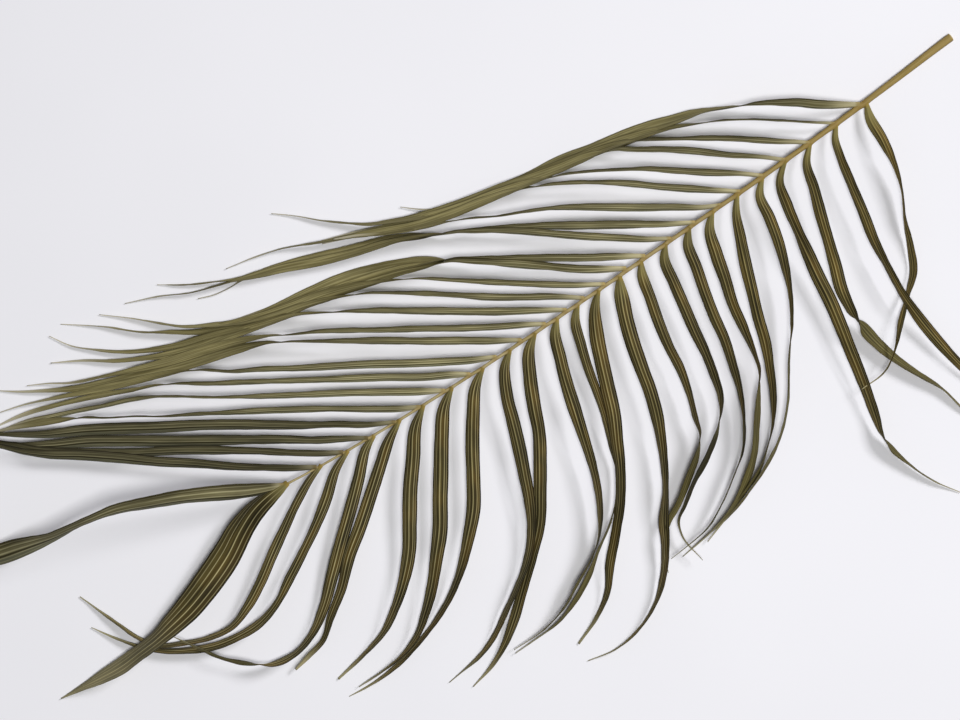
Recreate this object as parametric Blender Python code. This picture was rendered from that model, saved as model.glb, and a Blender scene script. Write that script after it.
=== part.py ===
"""Dried areca palm leaf, lying on a flat surface. Metres, +Z up.

The rachis runs along +X from the cut end of the stalk. The left row of leaflets is on +Y, the right row
on -Y. The origin is on the surface, under the stalk.
"""
import bpy
import numpy as np

for old in list(bpy.data.objects):
    bpy.data.objects.remove(old, do_unlink=True)

MM = 0.001
ORIGIN_X = 8.0          # the origin's place along the leaf, 10 mm from the cut end, mm
BLADE_T = 0.62          # thickness of a blade, mm
ROOT_T = 2.0            # thickness of a leaflet at its root, mm
ROOT_RUN = 14.0         # length over which the root thins to the blade, mm
FOLD_LEFT = 24.0        # slope of each half of a left blade beside its rib, degrees
FOLD_RIGHT = 30.0       # the same for the right row, folded tighter
FOLD_END = 0.25         # share of the fold that is left where the blade has flattened
FOLD_RUN = 0.6          # share of the length over which the fold flattens
EDGE_FOLD = 0.03        # fold that is left where the blade stands on edge, radians
GROW = 0.10             # share of the length over which a blade reaches its width
TAPER = 0.60            # where the blade starts to narrow
TIP_W = 0.9             # narrowest width, mm
REST_LENGTH = 18.0      # length of the flat spot under the stalk's end, mm
PATH_SAG = 0.55         # a ring is left out where the blade's path strays less than this without it, mm
WIDTH_SAG = 1.1         # and its seen width less than this, mm
HEIGHT_SAG = 0.5        # and its height less than this, mm
LIFT = 0.8              # the blades' heights below are counted from this far above the surface, mm

# Rachis: distance along the leaf, sideways offset, width and height of the centre above the surface, mm
RACHIS = [
    (-2, -0.1, 6.9, 3.1), (16, 0.9, 6.4, 3.1), (45, 2.8, 5.6, 4.4), (80, 4.8, 4.8, 6.8), (115, 6.4, 4.4, 9.4),
    (150, 7.6, 4.1, 11.6), (200, 9.0, 3.8, 13.8), (250, 9.7, 3.5, 15.4), (300, 10.4, 3.3, 16.6),
    (350, 11.0, 3.1, 17.4), (400, 11.1, 2.9, 18.0), (450, 10.9, 2.7, 18.2), (500, 9.7, 2.5, 18.2),
    (540, 8.3, 2.3, 18.0), (580, 6.0, 2.1, 17.6), (610, 3.8, 1.9, 17.2), (636, 1.2, 1.8, 17.0),
    (652, -1.4, 1.6, 17.0),
]

# One entry for each leaflet: its name, the heights of its lowest edge at even shares of its length after
# the root, and rows of distance along the leaf, distance to the side and seen width, mm. A seen width below
# nought shows the underside, because the blade has twisted over. The tips at minus LIFT touch the surface:
# they and the stalk's end are the three points that hold the leaf up.
LEFT = [
    ("l01", (11, 8, 3, 1, 8, 12, 12), [
        (85, 6, 3), (89.3, 17.8, 8), (91.2, 37.9, 8.2), (94.3, 60, 3.5), (100.3, 80.4, 1.5),
        (110.4, 100.8, 1.8), (118.2, 120.8, 5.5), (128.4, 140, 6), (142.2, 152, 3.5), (160.6, 167.5, 5),
        (173, 179.3, 1.5), (193, 192.3, 1), (216, 194, .6)]),
    ("l02", (12, 12, 11.5, 6, 2, 0), [
        (115, 7, 3), (121.7, 15.6, 5.5), (126.7, 29.6, 6), (131.2, 49.6, 6.5), (137.2, 79.6, 7.9),
        (141.7, 99.6, 7.4), (144.7, 124.5, 4.8), (146.8, 149.5, 5.3), (146.3, 169.5, 8.5),
        (144.4, 189.7, 9), (140, 218, 7.2), (133, 245, 6), (124, 270, 4.3), (108, 303, .8)]),
    ("l03", (13, 11, 9, 3, 1, 0), [
        (141, 8, 3), (152.1, 19.3, 6), (158.8, 39.5, 8), (165.9, 59.7, 9), (172.2, 79.9, 8.5),
        (178.5, 100, 10), (185.3, 119.8, 10.2), (187.3, 131.8, 8), (188.2, 141.3, 5.5),
        (187.5, 152.3, -8.5), (184.7, 170.2, -9.5), (178.9, 190.1, -7.5), (170.6, 209.9, -5),
        (161.4, 229.8, -2.5), (156.5, 252, -2), (151, 276, -.6)]),
    ("l04", (13, 12, 9, 5, 2, 0), [
        (165, 8, 3), (178.1, 19.3, 6), (184.2, 39.2, 8), (188.1, 59.2, 7), (191.6, 79.3, 9.5),
        (195, 99.4, 11), (197.5, 119.6, 11), (201.2, 139.9, 10.5), (205.5, 160, 9.8), (209.5, 180, 9),
        (214, 200, 8), (219, 220, 6), (222.3, 233, 1.8), (222, 246, -4.5), (217, 266, -2.3),
        (208, 288, -1), (195, 308, -.5)]),
    ("l05", (13, 12, 9, 5, 1.2, .3), [
        (188, 9, 3), (197.1, 19.3, 7), (201.1, 39.3, 9), (206, 59.3, 8.5), (213, 79.3, 6),
        (221.8, 99.4, 3), (234.1, 119.6, 1.2), (251.3, 142.1, -2.3), (270.7, 169.6, -2.4),
        (290, 188.5, -3.3), (310, 201, -3.5), (330, 210, -2.8), (355, 218.5, -2.2), (385, 223.5, -1.2),
        (409, 226.5, -.5)]),
    ("l06", (13, 12, 10, 7.5, 4.5, 3), [
        (212, 9, 3), (220.3, 19.7, 6), (229.6, 39.9, 8.5), (238, 60.1, 10), (245.4, 80.1, 9),
        (252.9, 100.1, 9), (259.2, 119.8, 8.5), (268, 139.6, 6.5), (278, 159.3, 4.5), (290, 176.5, 1.7),
        (303, 189.5, -1.5), (320, 202.5, -3.2), (340, 211, -3), (362, 219, -2), (386, 227.5, -.6)]),
    ("l07", (13, 12, 10, 8, 7, 5.5), [
        (236, 9, 3), (245.6, 19.5, 8), (252.6, 39.6, 10.5), (257.9, 59.7, 9.5), (263.9, 79.8, 8.5),
        (267.3, 99.8, 7), (271.2, 119.9, 3.5), (276, 136, 1.2), (286, 150, -4), (301, 170, -6),
        (317, 190, -6), (335, 204.5, -6.5), (352, 214, -4), (372, 220.5, -1.8), (400, 225, -.5)]),
    ("l08", (13, 12, 10.5, 9.5, 9.5, 8), [
        (259, 9.5, 3), (266.6, 19.5, 8), (271.7, 39.9, 9), (277.1, 60, 9), (281.6, 80, 9), (285, 100, 8),
        (290.7, 119.6, 7), (297.5, 140, 4), (307, 160, 2), (321, 180, 1), (340, 195, -1), (360, 208, -1.4),
        (380, 217.5, -1.2), (400, 220.5, -1), (418, 222, -.4)]),
    ("l09", (13, 12, 10, 8, 7, 9), [
        (282, 10, 3), (289.1, 19.5, 8), (293.4, 39.7, 9), (297.1, 59.9, 9.5), (300.8, 79.9, 9),
        (303.7, 99.9, 7.5), (308.2, 119.8, 6.5), (313.1, 135.9, 4), (320.5, 147, 1.5), (332, 158.5, -4),
        (350, 171, -5.5), (370, 182, -4), (385, 192.5, -4), (396, 200, -2), (400, 210, -1.5),
        (397.5, 237, -.4)]),
    ("l10", (13, 12, 10, 9.5, 10.5, 9), [
        (306, 10.5, 3), (310.8, 19.7, 8), (316, 39.9, 9), (321.3, 60.1, 9), (325.2, 79.9, 8),
        (327.5, 99.6, 7), (332.5, 119.6, 5), (339.5, 139.7, 3.5), (343, 151, 1), (354, 162, -6.5),
        (370, 174.5, -8), (390, 188.5, -6), (403, 196, -4.5), (413, 206, -2), (421, 218, -1.2),
        (426, 230, -.4)]),
    ("l11", (13, 12, 9, 6, 3, 1, 0), [
        (327, 11, 3), (331.7, 20.2, 10), (340.5, 40.3, 12.1), (347.3, 60.5, 12.2), (352.5, 80.3, 11.5),
        (357.2, 100.2, 10.8), (363.7, 119.9, 10.2), (372.4, 139.7, 7.7), (382.7, 159.6, 5.1),
        (392.8, 175.9, 4.7), (406, 193.3, 7.8), (415.5, 209.7, 6.6), (430, 229, 4.9), (448, 244.5, 2.6),
        (470, 254.5, 1.5), (495, 258, .9), (519, 253.5, .5)]),
    ("l12", (13.5, 13.5, 12, 8, 3, 0), [
        (347, 11, 3), (356.4, 20.5, 8), (368.1, 40.3, 12), (376.4, 60.1, 12), (384.1, 79.9, 12),
        (391.9, 99.8, 12), (401.7, 119.1, 10.2), (411.7, 138.9, 8.4), (425, 159, 7.6), (442.8, 179.4, 7.5),
        (462, 199.4, 7.2), (474.9, 215.5, 5), (494.7, 228.7, 2.8), (517.5, 238, 1.8)]),
    ("l13", (8.5, 5, 3.5, 3, 3, 2), [
        (367, 11, 3), (375.3, 20.4, 7.5), (382.6, 40.2, 8.2), (388.5, 59.7, 7.4), (393.3, 79.9, 6.6),
        (399.2, 100.1, 5.8), (406.5, 120.3, 5.5), (415, 141.6, 3.5), (426, 156.2, 2), (445.1, 173, -2),
        (462.1, 183.7, -3), (479.8, 196.5, -4.5), (499.8, 207.1, -4.5), (520.9, 214.1, -2),
        (545, 215.5, -1.2), (564, 216, -.5)]),
    ("l14", (13, 12, 10, 7, 5.5, 4), [
        (387, 11, 3), (394.8, 20.5, 8.5), (402.6, 39.9, 10), (409.6, 59.6, 10.5), (415.5, 79.6, 11),
        (421.2, 99.8, 9), (427.1, 120, 7), (434.5, 140, 6), (445, 160, 4), (456, 174.5, 1.6),
        (472, 187, -2), (490, 196, -2.5), (510, 206.5, -2), (533, 212.4, -1), (563, 212.8, -.5)]),
    ("l15", (13, 12, 10, 7, 3, 0), [
        (408, 11, 3), (419, 19.6, 9), (431.5, 39.7, 11), (441.1, 59.6, 11.5), (449.7, 79.5, 10.5),
        (462, 99.3, 11.1), (475.4, 119.1, 10.7), (489.4, 139.1, 9.8), (510.6, 159, 8.5), (531.4, 177.1, 8),
        (550.8, 193.5, 8), (567, 205, 5.5), (585, 213.7, 3), (607, 219.5, .6)]),
    ("l16", (13, 11, 8, 5, 2, 0), [
        (432, 11, 3), (442.4, 19.8, 8), (454.2, 39.9, 10), (461.6, 59.9, 11), (469.2, 79.9, 11.2),
        (477.5, 100, 10.5), (486, 120, 9), (497.5, 140, 7.5), (515.8, 159.8, 5.7), (535.7, 173.6, 4.3),
        (553.5, 184.7, 4.2), (572.3, 195.8, 4.5), (590, 202, 3), (605, 204, 1.2), (621, 206, .5)]),
    ("l17", (13, 12, 9, 4, 1, -.8), [
        (458, 11, 3), (470.5, 19.7, 8.6), (486.5, 39.7, 11.1), (500.5, 59.7, 11.6), (513, 79.6, 11.6),
        (526.4, 99.8, 11.6), (544.4, 118.7, 9.7), (560.4, 133.5, 6.9), (580, 147.5, 5.5),
        (604.5, 159.1, 3.8), (629.5, 166.9, 4), (654.7, 171.7, 3.3), (678, 172, 1.5), (694, 170.5, .5)]),
    ("l18", (13, 12, 10, 7, 4, 2), [
        (487, 10, 3), (500.6, 19.6, 9.4), (516.6, 39.6, 11.9), (530.7, 59.6, 12.5), (544.8, 79.5, 12.6),
        (558.5, 99.6, 12.6), (573.2, 116.4, 11), (589.9, 134.6, 8.9), (605, 148, 7.5), (622, 160, 5),
        (642, 166.5, 2.3), (662, 168.3, 1.6), (683, 168.3, .5)]),
    ("l19", (13, 12, 10, 7, 3, 0), [
        (514, 9.5, 3), (528.2, 19.9, 9.4), (544.3, 39.9, 11.8), (560.4, 59.8, 12.2), (574.4, 79.8, 12.1),
        (588.4, 99.8, 11.6), (603.9, 116, 9.7), (621.6, 130.3, 7.5), (641.5, 142.3, 5.1),
        (664.5, 148.7, 3.2), (693.5, 154, 1.8)]),
    ("l20", (14, 14, 13, 11, 8, 5), [
        (536, 8.5, 3), (553.1, 18, 8.6), (570, 30.9, 10.5), (590, 46.5, 10.8), (609.7, 61.7, 11.1),
        (629.8, 76.1, 10.3), (649.9, 94.6, 8.3), (669.8, 108.6, 6.4), (685.5, 120.8, 4.6),
        (701.2, 124.8, 4.2), (717.1, 128.3, 1.8)]),
    ("l21", (12, 10, 7, 5, 8, 10, 12), [
        (560, 7.5, 3), (569.7, 11.7, 7), (589.8, 29.6, 10), (609.9, 47.1, 10.5), (630.3, 64.3, 10.5),
        (650.3, 81.8, 10.6), (670.3, 99.3, 8.7), (690.2, 111.9, 6.3), (709.8, 117.2, 4.7),
        (727.7, 114.7, 4.3), (744.8, 103.2, -4.2), (759.8, 88.1, -3.6), (773, 68, -2), (784, 50, -.5)]),
    ("l22", (13, 12, 10, 7, 4, 2, 0), [
        (584, 6, 3), (600.1, 13, 7), (620.1, 28.5, 9.7), (640.6, 42.6, 8), (660.5, 54.2, 7.8),
        (680.5, 65.2, 7.9), (700.5, 76.2, 6), (720.4, 81.4, 6.7), (739.7, 80.7, 6.4), (759.7, 76.6, 6.1),
        (779.8, 67.7, 4.8), (800.1, 54.2, 3.5), (812.4, 41.7, 2.5), (825.3, 24.4, 1.5), (835.1, 9.2, .5)]),
    ("l23", (13, 12, 10, 6, 3, 1, 0), [
        (608, 3.7, 3), (620.5, 7.6, 5.8), (640.3, 17.3, 7.2), (660.1, 29, 8.1), (680, 41, 9),
        (700, 54, 8.7), (719.8, 64.6, 7.8), (740.3, 71.1, 5.3), (760.2, 68.4, 4), (780.1, 60.4, 3.8),
        (798, 50.5, 3), (808.5, 35.8, 2.8), (814.6, 20.9, 2.1), (829, -16.5, .8)]),
    ("l24", (15, 14, 13, 12, 10.5, 8, 3, 0), [
        (638, .6, 4), (656.5, 1.9, 13.4), (672.5, 4.9, 17.2), (691, 11.3, 22.1), (709.8, 20.7, 24.3),
        (739.7, 32.6, 24), (759.9, 39.1, 21.8), (780.1, 43.4, 17.6), (795.2, 46, 13.3), (810, 47, 12),
        (830, 47.8, 13.5), (850, 46.5, 10), (866, 45, 5.5), (887, 43, .8)]),
]
RIGHT = [
    ("r01", (11, 8, 4, .5, .3, .2, 0), [
        (90, 4, 3.5), (100, -2, 5), (120.2, -15.7, 6.5), (130.3, -24, 6.8), (140.7, -31, 4.9),
        (150.9, -37.7, 3.4), (160.8, -43.3, 2), (178.4, -52.4, -2.4), (190, -58.3, -3.4),
        (199.8, -62.7, -5.8), (219.8, -68.8, -8.8), (239.7, -74.9, -10.9), (261.6, -80.2, -11.1),
        (289.3, -85.4, -11.4), (314.3, -91.9, -10.2), (339.6, -96.5, -6.4), (372, -103.5, -1)]),
    ("r02", (11, 8, 4, 2.5, 2.3, 2, .3), [
        (115, 5.5, 1.9), (130.2, -5.2, 1.4), (150.2, -20, .8), (170.2, -34.5, .8), (190.2, -47, .5),
        (210.2, -57.3, -1.7), (222, -63, -3.5), (240, -70.5, -7), (260, -76.5, -9), (285, -83, -9),
        (315, -88.5, -9), (345, -95, -9), (375, -101.5, -8), (400, -108, -6), (420, -116.5, -2),
        (430, -123.5, -1), (441, -133, -.5)]),
    ("r03", (12, 9, 7, 4.8, 4.6, 4.2, 2.5), [
        (141, 7, 3), (150.1, .2, 3.3), (160.3, -6.9, 4.2), (175.5, -18.4, 4.3), (190.4, -29.8, 4.4),
        (210.3, -43.6, 3.5), (230.3, -56.4, 2.1), (246, -66.5, 2.5), (262, -75, -4), (285, -82, -7),
        (315, -89, -8), (350, -96.5, -9), (385, -104, -9), (415, -112, -8), (440, -119.5, -6),
        (456, -127, -1.2)]),
    ("r04", (12, 10, 8.5, 7, 6.8, 6, 1.5, 0), [
        (165, 7.5, 3), (179.8, -5.1, 2.9), (200.2, -20.5, 4.4), (220, -37.5, 5.2), (240, -52.8, 4.8),
        (260, -66.2, 3.4), (272, -74.5, 3), (290, -81.5, -6), (320, -88, -8), (360, -98.5, -9),
        (400, -107.5, -9), (430, -117, -7), (455, -128, -3.5), (470, -135.5, -3), (485, -147, -2),
        (500, -159.5, -1), (515, -174, -.8), (530, -186.5, -.5)]),
    ("r05", (12.5, 12, 11, 9.3, 9, 8.5, 5.5, 2), [
        (187, 8, 3), (200.1, -2.6, 3.7), (220.6, -17.3, 5.4), (240.6, -32.4, 4.9), (260.6, -47.7, 3.2),
        (280.5, -60.2, 2), (300.3, -71.9, 1.5), (320, -82, 1.2), (335, -88, -4), (365, -97, -8),
        (400, -105, -9), (430, -114.5, -8), (460, -125.5, -6), (485, -135.5, -5), (509, -144.5, -3.5)]),
    ("r06", (12.5, 12.5, 12, 11.4, 11, 8, 2, .5), [
        (209, 8.5, 3), (220.2, .3, 4.2), (240.5, -15.1, 5.7), (260.2, -30.4, 5.3), (280, -46.8, 4.9),
        (299.9, -61.2, 3.3), (319.9, -74.1, 2.6), (338, -83.7, 1.5), (352, -90.5, -3), (380, -98.5, -7),
        (410, -105, -8), (440, -114, -7), (468, -126.5, -6), (490, -136.5, -4), (512, -146, -2),
        (540, -158.7, -1.2), (560, -164.5, -.8), (585, -169.8, -.5)]),
    ("r07", (13, 13, 13.5, 14, 14, 13, 10), [
        (228, 8.9, 3), (240.2, 2.8, 4.1), (260.8, -11.2, 5.9), (281, -24.4, 6.4), (301.2, -38.2, 6.7),
        (321.1, -51.7, 5.3), (340.9, -63.9, 3.5), (360.7, -73.8, 2), (380.4, -82.7, 1.2),
        (400.2, -93.7, 1), (420, -103, -2), (435, -109, -4), (450, -115, -3), (465, -122.5, -2.5),
        (480, -131.3, -2.5), (500, -141, -1)]),
    ("r08", (12, 11, 9, 6, 3, 2, 1, 0), [
        (252.8, 8.9, 3), (270.8, -1.6, 4.6), (291.3, -15, 5.9), (311.8, -28.3, 6.9), (332, -41.3, 6.7),
        (351.9, -54.4, 6.2), (371.9, -66.7, 4.8), (391.2, -78.2, 3.4), (404.7, -86, 2),
        (418.3, -92.3, 1.2), (435, -101, -4), (460, -114.5, -8), (490, -124.5, -10), (520, -136, -10),
        (545, -145.5, -8), (562, -151.5, -5), (577, -155, -2), (590, -155.5, -.9), (605, -158, -.8),
        (617, -162.5, -.5)]),
    ("r09", (12, 12.5, 12, 9.5, 6.5, 4.5, 2, 0), [
        (275.8, 8.9, 3), (290.6, -.2, 4.6), (310.4, -14.9, 5.8), (330.5, -29.9, 6.1), (350.1, -45.3, 6),
        (369.7, -60.9, 5.4), (389.6, -75.2, 4.3), (404.8, -84.8, 3.4), (420, -93.8, 1.2),
        (435, -101.5, -2.5), (460, -112.5, -5), (490, -122, -7), (520, -133, -8), (550, -145.5, -7),
        (570, -152.5, -5), (585, -158.3, -3), (600, -163, -1.2), (620, -170, -1), (640, -180.5, -.9),
        (668, -192, -.5)]),
    ("r10", (12, 11, 7, 1.5, .5, .4, .3), [
        (300.7, 8.9, 3), (319.5, -2.9, 5.4), (340.2, -15.7, 6.3), (360.7, -29.5, 5.7), (380.9, -42.6, 6),
        (400.9, -54.8, 5.9), (415.4, -64.9, 4.5), (431, -75, 2), (444.8, -83.9, -6.6), (465, -93.7, -9.4),
        (489.9, -103.3, -11.6), (514.8, -110.9, -11.8), (544.7, -116.5, -10.8), (574.8, -121.3, -9.4),
        (600, -129, -6), (622, -138, -1.2)]),
    ("r11", (12, 12, 9, 3, 2.5, 2.2, .8, 0), [
        (318.8, 8.9, 3), (330.5, 1.7, 5.6), (350.8, -12, 6.3), (370.6, -28.1, 6.3), (390.4, -43.8, 6.9),
        (405.2, -55.2, 5.2), (420, -66, 3.7), (431.8, -74.3, 2), (447.7, -81.4, -6), (467.7, -89.9, -9),
        (494.9, -98.2, -11), (525, -107, -11), (555, -115, -10), (585, -123, -7), (605, -131, -5),
        (620, -139, -3.5), (640, -151, -2.5), (650, -160, -1.5), (670, -179, -.8), (690, -196, -.5)]),
    ("r12", (12, 12, 11, 5.5, 4.5, 3.5, 1, -.8), [
        (339.8, 9.9, 3), (359.7, -2.6, 4.9), (380, -16.9, 5.1), (400.4, -31.8, 4.8), (420.4, -46.7, 4.3),
        (440.4, -61.7, 2.9), (460.1, -76.3, 1.2), (480, -88, -1.5), (500, -97.5, -5), (530, -108.5, -8),
        (560, -115.5, -8), (590, -124.5, -7), (612, -133, -5.5), (630, -139.4, -5), (650, -152.3, -3),
        (670, -165.8, -1.5), (690, -184, -.9), (720, -207, -.5)]),
    ("r13", (12, 12, 12, 8, 6.7, 5, 1.5, 0), [
        (359.7, 9.9, 3), (379.5, -4.8, 5.2), (400.6, -18.4, 5.6), (420.7, -32, 6.1), (440.5, -47, 4.5),
        (460.2, -61.8, 4.1), (480.3, -76, 2.7), (500.2, -89.2, 1.3), (518, -98.3, -1.5), (545, -108.5, -6),
        (575, -116, -8), (600, -124, -7), (625, -132.5, -6), (650, -140, -5), (670, -148.5, -4.5),
        (690, -160, -3), (710, -175.8, -1.5), (722, -187, -.9), (733, -204, -.5)]),
    ("r14", (12.5, 12.5, 12.5, 11, 8.8, 7, 3, 0), [
        (376.7, 9.9, 3), (400.1, -5.2, 5.7), (420.6, -18.1, 6.5), (440.8, -31.6, 6.4), (460.8, -45.5, 6.3),
        (480.9, -59.2, 5.8), (500.7, -72.9, 4.6), (520.5, -85.3, 2.8), (540.2, -97.3, -1.9),
        (558, -107.5, -3), (580, -114.5, -6), (610, -123, -8), (640, -130.5, -8), (662, -138.5, -6),
        (680, -147, -4), (700, -158, -3), (720, -171.8, -2), (744, -185.5, -.5)]),
    ("r15", (12.5, 12.5, 12.5, 12.5, 11, 8, 4, 0), [
        (396.7, 9.9, 3), (410, 1.7, 4.9), (430.7, -10.9, 6), (456.1, -26.7, 6), (481.2, -43.1, 5.9),
        (506.1, -58.5, 5.3), (530.7, -74.4, 4.5), (550.4, -86, 3.5), (568.2, -95.2, 1), (584, -104.5, -2),
        (602, -113, -5), (630, -123, -8), (660, -132, -8), (680, -139, -6), (700, -147, -4),
        (715, -153, -2.5), (740, -163.5, -2), (755, -173, -1), (770, -181, -.5)]),
    ("r16", (12.5, 13, 13, 12, 10, 6, 3, 0), [
        (419.8, 9.9, 3), (440.2, -3, 5.9), (460.5, -17, 6.7), (485.8, -33.8, 6.4), (510.7, -51.1, 6.4),
        (535.6, -67.6, 5), (555.5, -80.3, 2.2), (575.4, -93, 1.2), (592.2, -102.7, -4), (615, -111.5, -8),
        (640, -119, -9), (670, -129, -9), (695, -139.5, -7), (715, -147, -7), (740, -158, -5),
        (760, -169.4, -3), (780, -182, -1.5), (792, -191, -.5)]),
    ("r17", (12.5, 13, 13, 13, 12, 8, 4, .5), [
        (443.8, 9.9, 3), (460.1, 1.9, 6), (480.7, -10.7, 6.8), (506.1, -26.5, 7), (531.2, -42.6, 6.9),
        (556.3, -57.6, 6.3), (581.1, -72.3, 5.3), (606.1, -87.9, 4.2), (625.8, -98.6, 3.1),
        (645.4, -112.8, 1.5), (662.2, -122.2, -3), (685, -131.5, -6), (705, -139, -6), (725, -147, -6),
        (745, -156, -4), (760, -162.8, -2.5), (780, -170, -1.2), (801, -175.5, -.5)]),
    ("r18", (13, 13, 13.5, 14, 13, 9, 4, .3), [
        (469, 9.9, 3), (479.9, 2.1, 6), (500.3, -9.5, 6.7), (525.6, -26.3, 6.9), (550.8, -41.9, 6.2),
        (575.9, -57.5, 5), (600.9, -73.2, 4.6), (625.7, -88.4, 4.3), (645.5, -100.2, 4),
        (665.3, -113.1, 2), (685, -124, -2), (702, -131, -3.5), (720, -139, -5), (740, -147.8, -5),
        (760, -156.7, -5), (780, -163.3, -4), (803, -166.7, -1.6), (814, -167.5, -.6)]),
    ("r19", (13, 13, 14, 14.5, 14, 10.5, 5, 1.5), [
        (493, 9.4, 3), (510, -2.3, 7.1), (530.3, -15.6, 7.2), (555.6, -31.9, 6.7), (580.5, -46.9, 5.9),
        (605.6, -62.2, 5.2), (630.4, -77.7, 3.6), (650.3, -90.2, 2.2), (671.6, -105.7, 3.3),
        (689.3, -118, 4.2), (705, -126.5, 6.6), (725.4, -134, 6.2), (745.4, -142.4, 6.7),
        (765.4, -150.4, 7.4), (785.4, -156.5, 5), (805, -161.5, 2.5), (822, -165, .8)]),
    ("r20", (13, 13.5, 14.5, 15.5, 15.5, 12.5, 7.5, 3), [
        (517, 9, 3), (529.9, .4, 6.8), (550, -12.8, 7), (575.1, -29.9, 6.2), (600, -45.4, 6.4),
        (625.1, -60.8, 5.9), (650.3, -75.6, 4.2), (670.4, -87.3, 3), (690.2, -98.3, 1.8),
        (710.2, -111.7, 1), (730, -123.5, 1.5), (742.3, -132.1, 2.5), (757.4, -140.3, -3.8),
        (775.4, -149.3, -5.8), (790.4, -156, -4.5), (808, -163, -2), (828, -169.5, -.6)]),
    ("r21", (12, 12, 11, 9, 7.5, 7.5, 6.5, 0), [
        (540, 8, 3), (559.6, -4.4, 6.8), (579.8, -18.5, 7.5), (600.1, -30.6, 7.7), (620.1, -43.7, 8.7),
        (645.2, -60.6, 9.1), (670.2, -76.4, 9.1), (700.1, -94.2, 9.8), (725.3, -110, 9.9),
        (751, -125.5, 9.5), (780.6, -141.4, 6.4), (790.4, -147.6, 5.7), (803.1, -156.3, 3.5),
        (820, -169, 2.5), (845, -192, .7)]),
    ("r22", (13, 13, 12, 10.5, 9, 9.5, 8, 0), [
        (565, 6.5, 3), (580, -4.1, 6.8), (600.3, -16.2, 7.6), (620.7, -30, 7.9), (645.8, -46.4, 8.5),
        (670.6, -61.9, 9.1), (700.1, -81, 9.3), (729.2, -100.6, 9.6), (753.4, -116.3, 9.6),
        (778.7, -130, 8.4), (796.6, -141.7, 5), (810, -153.5, 3), (825, -170, 2), (840, -191, .7)]),
    ("r23", (13, 13, 13, 12, 11, 11.5, 10, 2), [
        (588, 5, 3.5), (599.7, -2.6, 6.3), (619.9, -16.9, 6.9), (644.5, -35.3, 7.2), (669.2, -52.2, 8),
        (694.1, -68.2, 7.8), (719.2, -83.4, 7.4), (745, -99.1, 8.8), (770, -116.5, 8.5),
        (790, -132.5, 6.5), (803, -146, 4.5), (815, -158, 3), (832, -177, 2), (853, -196, .7)]),
    ("r24", (14, 14, 14, 13.5, 13, 13.5, 12, 3), [
        (612, 3, 3.5), (625, -5.5, 6), (645.3, -19.9, 7), (665.5, -34.2, 7.3), (690.4, -53.2, 8),
        (715.2, -71.7, 8.4), (739.8, -91.8, 9), (764.7, -111, 8.8), (785.1, -125.4, 7), (800.7, -138.8, 5),
        (811.8, -150.7, 3.7), (827.1, -165.5, 2.9), (850, -186, .7)]),
    ("r25", (30, 41, 46, 43, 28, 7, 1, 0), [
        (642, .4, 4), (655.2, -5.7, 9.4), (670.1, -13.8, 12.4), (685, -22.5, 13.5), (709.3, -35.9, 11.7),
        (734.5, -47.3, 10.9), (759.6, -57.6, 8.2), (780, -62.3, 6.3), (800.1, -65.9, 5.9),
        (812.1, -67.6, 7.6), (828, -71.5, 12.4), (845, -75.9, 16.6), (862.1, -80.4, 17.8),
        (885.1, -88.8, 15.3), (910.2, -98.7, 9.8), (932, -109, .9)]),
]


def rachis_height(x):
    return np.interp(x, [row[0] for row in RACHIS], [row[3] for row in RACHIS])


def needed(x, y, seen, low):
    """Rows that a blade can't do without: the others lie close to the straight run between neighbours."""
    limits = (PATH_SAG, PATH_SAG, WIDTH_SAG, HEIGHT_SAG)
    run = np.concatenate([[0], np.cumsum(np.hypot(np.diff(x), np.diff(y)))])
    kept, i = [0, 1], 1
    while i < len(x) - 1:
        j = i + 1
        while j < len(x) - 1:
            inner = slice(i + 1, j + 1)
            ends = [run[i], run[j + 1]]
            strays = [np.abs(v[inner] - np.interp(run[inner], ends, [v[i], v[j + 1]])).max() > limit
                      for v, limit in zip((x, y, seen, low), limits)]
            if any(strays):
                break
            j += 1
        kept.append(j)
        i = j
    return kept


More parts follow.
